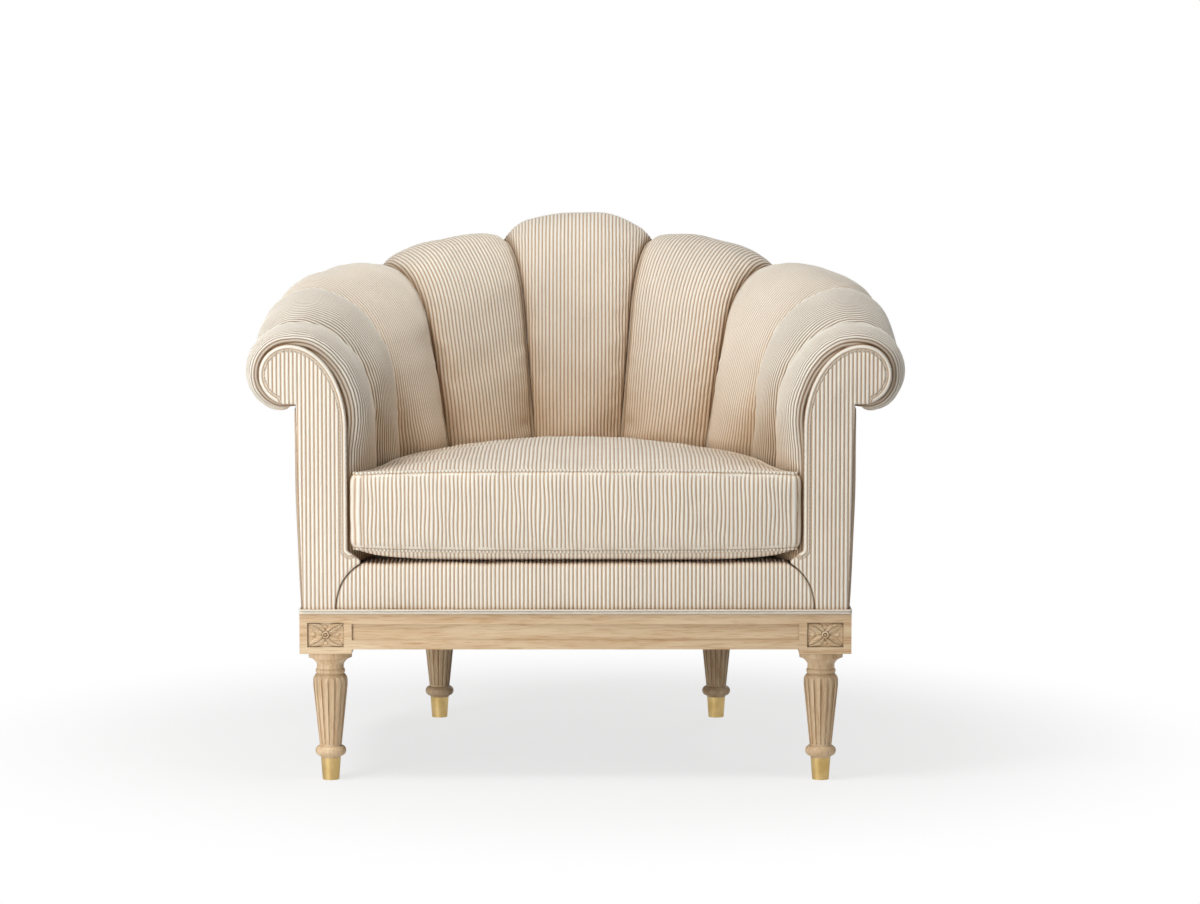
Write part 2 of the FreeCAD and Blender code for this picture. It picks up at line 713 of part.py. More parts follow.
def build_ferrule(label, across, back, turn=None):
    """Brass cup on the foot of a leg."""
    body = doc.addObject("PartDesign::Body", label)
    sketch = new_sketch(body, label + "_profile", "XZ_Plane")
    draw_outline(
        sketch,
        [
            ("0", "0"),
            ("ferrule_foot", "0"),
            ("ferrule_top", "ferrule_height"),
            ("ferrule_top - ferrule_wall", "ferrule_height"),
            ("ferrule_foot - ferrule_wall", "ferrule_floor"),
            ("0", "ferrule_floor"),
        ],
    )
    add_turning(body, sketch)
    hole = new_sketch(body, label + "_pin_hole", "XZ_Plane")
    draw_circle(hole, "0", "pin_height", "pin_radius + fit_gap")
    add_pocket(body, hole)
    return keep(body, label, across, back, turn=turn)


def build_block(label, across, back, leg="0", turn=None):
    """Corner block with a sunk square for its carved rosette and a hole for the leg's bolt."""
    body = doc.addObject("PartDesign::Body", label)
    plan = new_sketch(body, label + "_plan", "XY_Plane", "base_top - block_drop")
    draw_outline(plan, rectangle("- block_half", "block_half", "- block_half", "block_half"))
    add_pad(body, plan, "Sizes.block_drop")
    panel = new_sketch(body, label + "_square", "XZ_Plane", "block_half")
    low, high = "base_top - rosette_low", "base_top - rosette_high"
    draw_outline(panel, rectangle("- rosette_half", "rosette_half", low, high))
    add_pocket(body, panel, "Sizes.panel_sink")
    hole = new_sketch(body, label + "_bolt_hole", "XY_Plane", "base_top - block_drop")
    draw_circle(hole, leg, "0", "bolt_radius + fit_gap")
    add_pocket(body, hole, "Sizes.bolt_reach + 1", backwards=True)
    return keep(body, label, across, back, turn=turn)


def build_front_rail():
    """Moulded front rail between the corner blocks."""
    body = doc.addObject("PartDesign::Body", "front_rail")
    sketch = new_sketch(body, "front_rail_profile", "YZ_Plane")
    draw_outline(
        sketch,
        [
            ("base_front", "base_top - rail_drop"),
            ("base_front + rail_thick", "base_top - rail_drop"),
            ("base_front + rail_thick", "base_top"),
            ("base_front", "base_top"),
            ("base_front", "base_top - panel_high"),
            ("base_front + panel_sink", "base_top - panel_high"),
            ("base_front + panel_sink", "base_top - panel_low"),
            ("base_front", "base_top - panel_low"),
        ],
    )
    add_pad(body, sketch, "2 * (Sizes.base_half_width - 2 * Sizes.block_half)", symmetric=True)
    return keep(body, "front_rail")


def block_solid(spot, outward):
    """Space of a corner block, with its outer face square to a direction."""
    half = size("block_half")
    box = Part.makeBox(2 * half, 2 * half, size("rail_drop") + 40.0)
    box.translate(Vector(-half, -half, size("base_top") - size("rail_drop") - 20.0))
    box.rotate(Vector(0, 0, 0), Vector(0, 0, 1), math.degrees(math.atan2(outward.y, outward.x)) - 90.0)
    box.translate(Vector(spot.x, spot.y, 0))
    return box


def block_places():
    """Centres and outward directions of the four corner blocks."""
    _, back, meet = outline_centres()
    outward = Vector(math.sin(meet), math.cos(meet), 0)
    rear = back + outward * (size("back_radius") - size("block_half"))
    front = Vector(size("base_half_width") - size("block_half"), size("base_front") + size("block_half"), 0)
    return front, rear, outward


def build_curved_rails():
    """Left, rear and right base rails, sunk like the front one."""
    front, rear, outward = block_places()
    low, high = size("base_top") - size("rail_drop"), size("base_top")
    ring = outline_band(0.0, size("rail_thick"), front.y, low, high)
    groove = outline_band(
        -5.0, size("panel_sink"), front.y - 20.0, high - size("panel_low"), high - size("panel_high")
    )
    ring = ring.cut(groove)
    for side in (-1, 1):
        turned = Vector(side * outward.x, outward.y, 0)
        ring = ring.cut(block_solid(Vector(side * rear.x, rear.y, 0), turned))
        ring = ring.cut(block_solid(Vector(side * front.x, front.y, 0), Vector(0, 1, 0)))
    for solid, label in zip(by_side(ring.Solids), ("side_rail_left", "rear_rail", "side_rail_right")):
        keep_shape(solid, label)


def keep_group(shapes, label):
    """Keep identical small pieces as one group of solids."""
    return keep_shape(Part.makeCompound(shapes), label)


def build_leg_fasteners(spots):
    """Cross pins of the ferrules and hanger bolts of the legs."""
    pins = []
    bolts = []
    height = size("pin_height")
    taper = (size("ferrule_top") - size("ferrule_foot")) / size("ferrule_height")
    half = size("ferrule_foot") + taper * height - 0.4
    joint = size("base_top") - size("block_drop")
    for spot, turn in spots:
        along = Rotation(Vector(0, 0, 1), turn).multVec(Vector(0, 1, 0))
        start = spot - along * half + Vector(0, 0, height)
        pins.append(Part.makeCylinder(size("pin_radius"), 2 * half, start, along))
        foot = spot + Vector(0, 0, joint - size("bolt_reach"))
        bolts.append(Part.makeCylinder(size("bolt_radius"), 2 * size("bolt_reach"), foot))
    keep_group(pins, "ferrule_pins")
    keep_group(bolts, "leg_bolts")


def build_base():
    """Blocks, legs, ferrules, rails and their fasteners."""
    front, rear, outward = block_places()
    set_size("rear_leg_side", rear.x)
    set_size("rear_leg_back", rear.y)
    turn = math.degrees(math.atan2(outward.x, outward.y))
    corners = []
    for side, sign, name in ((-1, "- ", "left"), (1, "", "right")):
        block = "- base_half_width + block_half" if side < 0 else "base_half_width - block_half"
        leg = block + (" + leg_shift" if side < 0 else " - leg_shift")
        shift = "leg_shift" if side < 0 else "- leg_shift"
        depth = "base_front + block_half"
        build_block(f"front_block_{name}", block, depth, leg=shift)
        build_leg(f"front_leg_{name}", leg, depth)
        build_ferrule(f"front_ferrule_{name}", leg, depth)
        corners.append((Vector(side * (front.x - size("leg_shift")), front.y, 0), 0.0))
        across, depth = f"{sign}rear_leg_side", "rear_leg_back"
        spin = 180.0 - side * turn
        build_block(f"rear_block_{name}", across, depth, turn=spin)
        build_leg(f"rear_leg_{name}", across, depth, turn=spin)
        build_ferrule(f"rear_ferrule_{name}", across, depth, turn=spin)
        corners.append((Vector(side * rear.x, rear.y, 0), spin))
    build_front_rail()
    build_curved_rails()
    build_leg_fasteners(corners)


# Seat frame, springs and deck


def build_seat_frame():
    """Hidden hardwood seat rails, their corner braces and the dust cover under them."""
    inset = size("seat_rail_inset")
    inner = inset + size("seat_rail_thick")
    low = size("base_top")
    high = low + size("seat_rail_height")
    front = size("seat_rail_front")
    back_of_front = front + size("seat_rail_thick")
    ring = outline_face(inset, front, low).extrude(Vector(0, 0, high - low))
    ring = ring.cut(outline_face(inner, back_of_front, low - 5.0).extrude(Vector(0, 0, high - low + 10.0)))
    wide = size("base_half_width") * 2
    bars = Part.makeBox(wide, back_of_front - front + 20, high, Vector(-wide / 2, front - 20, 0))
    keep_shape(ring.common(bars), "seat_rail_front")
    split = size("seat_rail_split")
    sides = Part.makeBox(wide, split - back_of_front, high, Vector(-wide / 2, back_of_front, 0))
    for solid, label in zip(by_side(ring.common(sides).Solids), ("seat_rail_left", "seat_rail_right")):
        keep_shape(solid, label)
    rest = Part.makeBox(wide, size("base_back") - split, high, Vector(-wide / 2, split, 0))
    keep_shape(ring.common(rest), "seat_rail_back")

    half = size("base_half_width") - inner
    leg = size("brace_leg")
    braces = []
    for side in (-1, 1):
        corner = Vector(side * half, back_of_front, low + 2.0)
        wire = polygon([corner, corner + Vector(-side * leg, 0, 0), corner + Vector(0, leg, 0)])
        braces.append(Part.Face(wire).extrude(Vector(0, 0, size("brace_height"))))
    keep_group(braces, "corner_braces")

    sheet_low = low - size("dust_sheet") - 0.1
    cover = outline_face(size("rail_thick") + 0.5, size("base_front") + size("rail_thick") + 0.5, sheet_low)
    cover = cover.extrude(Vector(0, 0, size("dust_sheet")))
    front_spot, rear_spot, outward = block_places()
    for side in (-1, 1):
        turned = Vector(side * outward.x, outward.y, 0)
        cover = cover.cut(block_solid(Vector(side * rear_spot.x, rear_spot.y, 0), turned))
        cover = cover.cut(block_solid(Vector(side * front_spot.x, front_spot.y, 0), Vector(0, 1, 0)))
    keep_shape(cover, "dust_cover")


def spring_solid(across, start, stop, height):
    """Sinuous spring from one rail to the other, a wire bent in half turns."""
    loops = int(size("spring_loops"))
    pitch = (stop - start) / loops
    half = size("spring_half")
    turn = pitch / 2
    edges = []
    spot = Vector(across - half + turn, start, height)
    edges.append(Part.LineSegment(spot, Vector(across + half - turn, start, height)).toShape())
    for loop in range(loops):
        side = 1 if loop % 2 == 0 else -1
        here = Vector(across + side * (half - turn), start + loop * pitch, height)
        there = here + Vector(0, pitch, 0)
        via = here + Vector(side * turn, turn, 0)
        edges.append(Part.Arc(here, via, there).toShape())
        edges.append(Part.LineSegment(there, there - Vector(2 * side * (half - turn), 0, 0)).toShape())
    path = Part.Wire(edges)
    ring = Part.Wire(Part.Circle(spot, Vector(1, 0, 0), size("spring_wire")).toShape())
    return path.makePipeShell([ring], True, False)


def build_springs():
    """Sinuous springs in clips on the front and back seat rails."""
    count = int(size("spring_count"))
    pitch = size("spring_pitch")
    top = size("base_top") + size("seat_rail_height")
    height = top + size("clip_height") / 2
    front = size("seat_rail_front") + size("seat_rail_thick") / 2
    inset = size("seat_rail_inset") + size("seat_rail_thick") / 2
    springs = []
    clips = []
    for index in range(count):
        across = (index - (count - 1) / 2) * pitch
        stop = size("base_back") - size("back_radius")
        stop += math.sqrt((size("back_radius") - inset) ** 2 - across**2) - 2.0
        springs.append(spring_solid(across, front, stop, height))
        for depth in (front, stop):
            width, deep, tall = size("clip_width"), size("clip_depth"), size("clip_height")
            clip = Part.makeBox(width, deep, tall, Vector(across - width / 2, depth - deep / 2, top))
            hole = size("spring_wire") + size("fit_gap")
            start = Vector(across - width / 2 - 10, depth - hole, height - hole)
            bore = Part.makeBox(width + 20, 2 * hole, 2 * hole, start)
            inward = 1 if depth == front else -1
            mouth = Vector(across - width / 2 - 10, depth if inward > 0 else depth - deep, height - hole)
            slot = Part.makeBox(width + 20, deep, 2 * hole, mouth)
            clips.append(clip.cut(bore).cut(slot))
    keep_group(springs, "seat_springs")
    keep_group(clips, "spring_clips")


def seat_plan(out, front, low, high):
    """Flat piece that fills the seat out to a distance behind the channels."""
    spots = []
    for place in places(-4.5, 4.5):
        spots.append(Rib(place).point(out, low))
    spots = [spot for spot in spots if spot.y > front + 5.0]
    left = Vector(spots[0].x, front, low)
    right = Vector(spots[-1].x, front, low)
    curve = Part.BSplineCurve()
    curve.interpolate([left] + spots + [right])
    edges = [curve.toShape(), Part.LineSegment(right, left).toShape()]
    return Part.Face(Part.Wire(edges)).extrude(Vector(0, 0, high - low))


def build_deck():
    """Insulator on the springs, pad, decking cloth and the upholstered front border."""
    back = size("deck_front_back") + size("piece_gap")
    low = size("base_top") + size("seat_rail_height") + size("clip_height") + 0.2
    reach = size("channel_pad") - 4.0
    top = size("deck_top")
    insulator = low + size("platform_sheet")
    cloth = top - size("deck_cloth")
    keep_shape(seat_plan(reach, back, low, insulator), "spring_insulator")
    keep_shape(seat_plan(reach, back, insulator + 0.2, cloth - 0.2), "deck_pad")
    keep_shape(seat_plan(reach, back, cloth, top), "deck_cloth")

    body = doc.addObject("PartDesign::Body", "deck_front")
    sketch = new_sketch(body, "deck_front_profile", "YZ_Plane")
    rail_top = "base_top + seat_rail_height + clip_height + 0.2"
    rail_face = "seat_rail_front - piece_gap"
    draw_outline(
        sketch,
        [
            (rail_face, "base_top + 0.3"),
            ("- facing_thick + 2", "base_top + 0.3", ("- facing_thick", "base_top + 30")),
            ("- facing_thick + 2", "deck_top - deck_edge_radius", ("1.5", "deck_top - 5")),
            ("- facing_thick + deck_edge_radius", "deck_top"),
            ("deck_front_back", "deck_top"),
            ("deck_front_back", rail_top),
            (rail_face, rail_top),
        ],
    )
    add_pad(body, sketch, "2 * (Sizes.base_half_width - Sizes.facing_width)", symmetric=True)
    for name, out, back in (("left", "-", "+"), ("right", "+", "-")):
        trim = new_sketch(body, f"deck_front_{name}_end", "XZ_Plane")
        wide = f"{out} base_half_width {back} facing_width"
        narrow = f"{out} base_half_width {back} arm_width {out} deck_lap"
        beyond = f"{wide} {out} 5"
        draw_outline(
            trim,
            [
                (wide, "base_top"),
                (narrow, "deck_crease"),
                (narrow, "deck_top + 5"),
                (beyond, "deck_top + 5"),
                (beyond, "base_top"),
            ],
        )
        add_pocket(body, trim)
    keep(body, "deck_front")


# Channels


class Channel:
    """One stuffed channel between two ribs, from the deck over the crest to the tack line."""

    def __init__(self, number):
        middle = float(number)
        first = -0.5 if number == 0 else middle - 0.5
        self.ribs = (Rib(first), Rib(middle), Rib(middle + 0.5))
        self.face = size(f"bulge{number}_face")
        self.top = size(f"bulge{number}_top")
        self.out = size(f"bulge{number}_out")

    def stations(self):
        """Kinds and values of the sections from the seat height to the tacked end."""
        leans = [("lean", step / 8) for step in range(8)]
        sweeps = [("sweep", angle) for angle in (0, 12, 24, 36, 48, 60, 75)]
        rolls = [("roll", angle) for angle in range(90, -90, -15)]
        return leans + sweeps + rolls + [("roll", -85), ("tack", 0)]

    def spot(self, rib, kind, value):
        """Distance out, height and normal of one station on a rib."""
        seat = size("seat_height")
        if kind == "lean":
            height = seat + value * (rib.crest - rib.rise - seat)
            out, normal = rib.wall(height)
            return out, height, normal
        if kind == "sweep":
            return rib.sweep_at(math.radians(value))
        if kind == "roll":
            return rib.roll_at(math.radians(value))
        return rib.reach - size("tack_reach"), rib.crest - 2 * size("roll_radius"), (0.0, -1.0)

    def bulge(self, rib, kind, value):
        """Height of the bulge at a station."""
        if kind == "tack":
            return 0.0
        if kind == "roll":
            turned = (90.0 - value) / 180.0
            swell = self.top + (self.out - self.top) * math.sin(turned * math.pi / 2)
            return swell * math.sqrt(max(1.0 - turned**6, 0.0))
        _, height, _ = self.spot(rib, kind, value)
        climb = max(height - size("seat_height"), 0.0) / (rib.crest - size("seat_height"))
        return self.face + (self.top - self.face) * (math.asin(min(climb, 1.0)) / (math.pi / 2)) ** 3

    def section(self, kind, value):
        """Face arc, side, back arc and side of the channel at a station."""
        fronts = []
        backs = []
        for index, rib in enumerate(self.ribs):
            out, height, normal = self.spot(rib, kind, value)
            lift = self.bulge(rib, kind, value) if index == 1 else 0.0
            spot = rib.point(out, height)
            fronts.append(spot + rib.direction(*normal) * lift)
            backs.append(spot - rib.direction(*normal) * size("channel_pad"))
            if index == 1:
                outwards = rib.direction(*normal)
        gap = (fronts[2] - fronts[0]).normalize() * (size("seam_gap") / 2)
        for group in (fronts, backs):
            group[0] += gap
            group[2] -= gap
        return [
            self.bow(*fronts, outwards),
            Part.LineSegment(fronts[2], backs[2]).toShape(),
            self.bow(*reversed(backs), outwards),
            Part.LineSegment(backs[0], fronts[0]).toShape(),
        ]

    def bow(self, start, middle, end, outwards):
        """Arc through three points, hardly bent where they are in line."""
        chord = (end - start).normalize()
        offset = (middle - start) - chord * (middle - start).dot(chord)
        if offset.Length < 0.05:
            middle = (start + end) * 0.5 + outwards * 0.05
        return Part.Arc(start, middle, end).toShape()

    def solid(self):
        """The stuffed channel, closed at its foot and at its tacked end."""
        sections = [self.section(kind, value) for kind, value in self.stations()]
        skin = Part.makeLoft([Part.Wire(edges) for edges in sections], False, False)
        ends = [Part.makeRuledSurface(edges[0], edges[2]) for edges in (sections[0], sections[-1])]
        skin = Part.makeCompound(skin.Faces + ends)
        skin.sewShape()
        upper = Part.Solid(skin if skin.ShapeType == "Shell" else skin.Shells[0])
        if upper.Volume < 0:
            upper.reverse()
        drop = size("seat_height") - size("channel_foot")
        wall = Part.Face(Part.Wire(sections[0])).extrude(Vector(0, 0, -drop))
        return wall.fuse(upper).Solids[0]


def build_channels():
    """Centre channel and four on each side."""
    keep_shape(Channel(0).solid(), "channel_centre")
    for number in range(1, SIDE_CHANNELS + 1):
        right = keep_shape(Channel(number).solid(), f"channel_right_{number}")
        keep_mirrored(right, f"channel_left_{number}")


# Frame of the back and arms


def frame_rail_corners(rib):
    """Section of the arm and crest rails behind the wall and under the roll."""
    top = rib.crest - size("frame_rail_top")
    bottom = rib.crest - size("frame_rail_bottom")
    depth = size("channel_pad") + size("backing_gap") + size("backing_sheet") + size("rail_gap")
    outer = rib.reach - size("tack_reach") - size("tack_gap")
    inner = [(rib.behind(depth, top), top), (rib.behind(depth, bottom), bottom)]
    return [inner[1], (outer, bottom), (outer, top), inner[0]]


def former_corners(rib):
    """Plywood former from the seat rail up to the frame rail, with a toe behind the channels."""
    depth = size("channel_pad") + size("backing_gap") + size("backing_sheet") + size("former_gap")
    foot = size("base_top") + size("seat_rail_height")
    top = rib.crest - size("frame_rail_bottom") - size("former_drop")
    outer_foot = rib.outline_reach() - size("seat_rail_inset") - 4.0
    inner_foot = outer_foot - size("seat_rail_thick") + 4.0
    toe = size("deck_top") + 8.0
    outer_top = rib.reach - size("tack_reach") - 5.0
    waist = (rib.crest - rib.rise + size("seat_height")) / 2
    return [
        (inner_foot, foot),
        (outer_foot, foot),
        (outer_top, top),
        (rib.behind(depth, top), top),
        (rib.behind(depth, waist), waist),
        (rib.behind(depth, size("seat_height")), size("seat_height")),
        (depth, toe),
        (inner_foot - 1.0, toe),
    ]


def backing_corners(rib):
    """Backing cloth behind the channels, from the deck to the frame rail."""
    near = size("channel_pad") + size("backing_gap")
    far = near + size("backing_sheet")
    low = size("deck_top") + 6.0
    bottom = rib.crest - size("frame_rail_bottom")
    top = rib.crest - size("frame_rail_top")
    heights = [low, size("seat_height"), (size("seat_height") + bottom) / 2, bottom, top]
    front = [(rib.behind(near, height), height) for height in heights]
    back = [(rib.behind(far, height), height) for height in reversed(heights)]
    return front + back


def build_back_frame():
    """Arm stumps, formers, rails and the backing cloth stretched on them."""
    rib = Rib(4.5)
    pad = size("channel_pad") + size("stump_gap")
    radius = size("roll_radius")
    sheet_edge = rib.outline_reach() - size("outside_inset") - size("outside_thick") - 1.0
    head = [rib.roll_at(math.radians(angle)) for angle in (90, 60, 30, 0, -30, -60, -90)]
    head = [(out - pad * across, up - pad * rise) for out, up, (across, rise) in head]
    sweep = [rib.sweep_at(math.radians(angle)) for angle in (0, 20, 40, 60, 75)]
    sweep = [(out - pad * across, up - pad * rise) for out, up, (across, rise) in sweep]
    low_edge = rib.crest - 2 * radius
    corners = [(pad + 1.0, size("base_top")), (pad, size("seat_height"))] + sweep + head
    corners += [
        (rib.reach - size("tack_reach") - 0.5, low_edge + pad),
        (rib.reach - size("tack_reach") - 0.5, low_edge - 1.0),
        (sheet_edge, low_edge - 12.0),
        (sheet_edge, size("base_top")),
    ]
    wire = rib_polygon(rib, corners)
    wire.translate(Vector(0, size("piece_gap"), 0))
    stump = Part.Face(wire).extrude(Vector(0, size("stump_thick"), 0))
    seat_rails = [piece.Shape for piece in nodes if piece.Label.startswith("seat_rail")]
    for rail in seat_rails:
        stump = stump.cut(rail)
    stump = max(stump.Solids, key=lambda solid: solid.Volume)
    keep_mirrored(keep_shape(stump, "arm_stump_right"), "arm_stump_left")

    step = (SEAT_LENGTHS[-1] - size("centre_half")) / SIDE_CHANNELS
    behind_stump = 4.5 - (size("stump_thick") + size("stump_gap")) / step
    arm = rib_loft(places(behind_stump, 2.5), frame_rail_corners)
    keep_mirrored(keep_shape(arm, "arm_rail_right"), "arm_rail_left")
    keep_shape(rib_loft(places(-2.5, 2.5), frame_rail_corners), "crest_rail")
    for place, name in ((0.5, "back_former"), (2.5, "side_former")):
        board = rib_board(Rib(place), former_corners(Rib(place)), size("former_thick"))
        keep_mirrored(keep_shape(board, f"{name}_right"), f"{name}_left")
    end = behind_stump - 0.02
    keep_shape(rib_loft(places(-end, end), backing_corners), "backing_cloth")


# Facings, outside panels and welt


def facing_wire(depth, inset):
    """Outline of an arm facing, within the front seam by an inset."""
    rib = Rib(4.5)
    notch = rib.reach - size("notch_reach")
    low = rib.crest - 2 * size("roll_radius")
    outer = rib.outline_reach() - size("outside_inset")
    foot = size("base_top") + 0.3 + inset

    def at(out, height):
        return Vector(rib.root.x + out, depth, height)

    def sweep(angle):
        out, height, (across, up) = rib.sweep_at(math.radians(angle))
        return at(out - inset * across, height - inset * up)

    def roll(angle):
        out, height, (across, up) = rib.roll_at(math.radians(angle))
        return at(out - inset * across, height - inset * up)

    wide = Vector(size("base_half_width") - size("facing_width") + 0.6 + inset, depth, foot)
    narrow = Vector(rib.root.x + max(inset, 1.4), depth, size("deck_crease"))
    edges = [Part.LineSegment(wide, narrow), Part.LineSegment(narrow, sweep(0))]
    edges += [Part.Arc(sweep(0), sweep(25), sweep(50)), Part.Arc(sweep(50), sweep(70), sweep(90))]
    edges += [Part.Arc(roll(90), roll(40), roll(-10)), Part.Arc(roll(-10), roll(-50), roll(-90))]
    heel = at(notch - inset, low + inset)
    outside = at(outer - inset, low - 110.0)
    corner = at(outer - inset, foot)
    edges += [Part.LineSegment(roll(-90), heel), Part.LineSegment(heel, outside)]
    edges += [Part.LineSegment(outside, corner), Part.LineSegment(corner, wide)]
    return Part.Wire([edge.toShape() for edge in edges])


def build_facings():
    """Scroll-shaped panels on the arm fronts with rounded edges."""
    gap = size("piece_gap")
    inset = size("facing_inset")
    back = facing_wire(-gap, inset)
    edge = facing_wire(-size("facing_thick") + size("facing_round"), inset)
    face = facing_wire(-size("facing_thick"), inset + size("facing_round"))
    panel = Part.makeLoft([back, edge, face], True, True)
    keep_mirrored(keep_shape(panel, "arm_facing_right"), "arm_facing_left")


def outside_corners(rib):
    """Section of the outside panels from the base to the roll's underside."""
    thick = size("outside_thick")
    low = size("base_top") + 0.3
    outer_low = rib.outline_reach() - size("outside_inset")
    outer_top = rib.reach - size("notch_reach")
    top = rib.crest - 2 * size("roll_radius") - size("outside_drop")
    return [(outer_low - thick, low), (outer_low, low), (outer_top, top), (outer_top - thick, top)]


def build_outside():
    """Outside arms and outside back."""
    arm = rib_loft(places(4.5, 2.5, 0.125), outside_corners)
    keep_mirrored(keep_shape(arm, "outside_arm_right"), "outside_arm_left")
    keep_shape(rib_loft(places(-2.5, 2.5, 0.125), outside_corners), "outside_back")


def build_welt():
    """Double welt round the foot of the upholstery."""
    low = size("base_top") + 0.2
    tall = size("welt_height")
    thick = size("welt_thick")
    inner = size("outside_inset") - 0.5
    front = -size("facing_thick") - 0.2
    half = tall / 2
    rings = []
    for index in range(2):
        bottom = low + index * half
        outside = outline_face(inner - thick, front - thick, bottom).extrude(Vector(0, 0, half))
        corners = [edge for edge in outside.Edges if in_flat_face(edge, bottom, half)]
        rounded = outside.makeFillet(half * 0.42, corners)
        inside = outline_face(inner, front, bottom - 5).extrude(Vector(0, 0, half + 10))
        rings.append(rounded.cut(inside))
    keep_shape(rings[0].fuse(rings[1]), "base_welt")


def in_flat_face(edge, bottom, tall):
    """Whether an edge lies in the top or bottom face of a flat ring."""
    box = edge.BoundBox
    return box.ZLength < 1e-6 and min(abs(box.ZMin - bottom), abs(box.ZMin - bottom - tall)) < 1e-6


# Loose seat cushion


def flowing(value, knots, results):
    """Smooth interpolation in a short table."""
    for index in range(len(knots) - 1):
        if value <= knots[index + 1]:
            break
    slopes = [(b - a) / (d - c) for a, b, c, d in zip(results, results[1:], knots, knots[1:])]
    first = slopes[index] if index == 0 else (slopes[index - 1] + slopes[index]) / 2
    last = slopes[index] if index == len(slopes) - 1 else (slopes[index] + slopes[index + 1]) / 2
    span = knots[index + 1] - knots[index]
    part = (value - knots[index]) / span
    start = results[index] * (1 - part) ** 2 * (1 + 2 * part) + first * span * part * (1 - part) ** 2
    return start + results[index + 1] * part**2 * (3 - 2 * part) - last * span * part**2 * (1 - part)


def cushion_rear_radius():
    """Radius of the cushion's rounded rear."""
    return seat_half() - size("cushion_rear_room")


def cushion_sections(inset):
    """Depths, half widths and crowns of the cushion's sections, within its skin by an inset."""
    rear_radius = cushion_rear_radius()
    centre = size("cushion_rear") - rear_radius
    corner = centre + rear_radius * math.cos(math.radians(48))
    spots = [(0.0, seat_half() - size("cushion_front_room"))]
    for word in ("cheek", "waist", "middle", "hip"):
        spots.append((size(f"cushion_{word}_depth"), seat_half() - size(f"cushion_{word}_room")))
    spots.append((corner, rear_radius * math.sin(math.radians(48))))
    knots = [depth for depth, _ in spots]
    halves = [half for _, half in spots]
    depths = [0.0, 10.0, 20.0, 35.0, 53.0, 72.0, 95.0] + [120.0 + 30.0 * step for step in range(10)]
    rows = [(-size("cushion_front_face"), seat_half() - size("cushion_front_room") - 6.0)]
    rows += [(depth, flowing(depth, knots, halves)) for depth in depths]
    for angle in (48, 40, 32, 25, 18, 9):
        turned = math.radians(angle)
        rows.append((centre + rear_radius * math.cos(turned), rear_radius * math.sin(turned)))
    crown_spots = (-size("cushion_front_face"), 0.0, 26.0, 80.0, 225.0, 360.0, size("cushion_rear"))
    crowns = (crown_spots, (0.12, 0.2, 0.42, 0.72, 1.0, 0.85, 0.25))
    sections = []
    for index, (depth, half) in enumerate(rows):
        crown = flowing(depth, *crowns)
        if index == 0:
            depth += inset
        if index == len(rows) - 1:
            depth -= inset
        sections.append((depth, half - inset, crown))
    return sections


def cushion_wire(depth, half, crown, inset):
    """Section of the cushion with crowned panels and drawn-in seams."""
    high = size("cushion_seam_high") - inset
    low = size("cushion_seam_low") + inset
    side = size("cushion_side")
    end = depth < 0 or half < 40.0
    drawn = 6.0 if depth < 0 else 0.0
    high -= drawn
    low += drawn
    middle = (high + low) / 2
    top = Vector(0, depth, high + size("cushion_crown") * crown)
    hang = size("cushion_seam_low") - size("deck_top") - size("piece_gap")
    belly = Vector(0, depth, low - hang * crown)
    bow = side * (0.5 if end else 1.0)
    upper = [Vector(-half, depth, high), Vector(half, depth, high)]
    corners = upper + [Vector(half, depth, low), Vector(-half, depth, low)]
    return Part.Wire([
        Part.Arc(corners[0], top, corners[1]).toShape(),
        Part.Arc(corners[1], Vector(half + bow, depth, middle), corners[2]).toShape(),
        Part.Arc(corners[2], belly, corners[3]).toShape(),
        Part.Arc(corners[3], Vector(-half - bow, depth, middle), corners[0]).toShape(),
    ])


def cushion_solid(inset):
    """Crowned cushion within its skin by an inset."""
    return Part.makeLoft([cushion_wire(*section, inset) for section in cushion_sections(inset)], True, False)


def arc_band(radius, thick, centre, first, last, low, high):
    """Upright band along an arc about the cushion's rear centre."""
    def spot(distance, angle):
        turned = math.radians(angle)
        return Vector(distance * math.sin(turned), centre + distance * math.cos(turned), low)

    middle = (first + last) / 2
    outer = radius + thick
    edges = [
        Part.Arc(spot(radius, first), spot(radius, middle), spot(radius, last)).toShape(),
        Part.LineSegment(spot(radius, last), spot(outer, last)).toShape(),
        Part.Arc(spot(outer, last), spot(outer, middle), spot(outer, first)).toShape(),
        Part.LineSegment(spot(outer, first), spot(radius, first)).toShape(),
    ]
    return Part.Face(Part.Wire(edges)).extrude(Vector(0, 0, high - low))


def build_cushion():
    """Cover, core and zip of the loose cushion."""
    cloth = size("cover_cloth")
    outside = cushion_solid(0.0)
    keep_shape(outside.cut(cushion_solid(cloth)), "cushion_cover")
    keep_shape(cushion_solid(cloth + size("core_gap")), "cushion_core")
    centre = size("cushion_rear") - cushion_rear_radius()
    middle = (size("cushion_seam_high") + size("cushion_seam_low")) / 2
    half = size("zip_height") / 2
    radius = cushion_rear_radius() + size("zip_gap")
    angle = size("zip_half_angle")
    tape = arc_band(radius, size("zip_thick"), centre, -angle, angle, middle - half, middle + half)
    keep_shape(tape, "zip_tape")
    radius += size("zip_thick") + size("piece_gap")
    reach = math.degrees(size("slider_width") / 2 / radius)
    start = size("zip_start")
    half = size("slider_height") / 2
    turn = (start - reach, start + reach)
    slider = arc_band(radius, size("slider_thick"), centre, *turn, middle - half, middle + half)
    keep_shape(slider, "zip_slider")


# The whole chair

build_base()
build_seat_frame()
build_springs()
build_deck()
build_channels()
build_back_frame()
build_facings()
build_outside()
build_welt()
build_cushion()
doc.recompute()

depths = [point.y for piece in nodes for point in piece.Shape.tessellate(0.2)[0]]
set_size("middle_depth", (min(depths) + max(depths)) / 2)
doc.recompute()

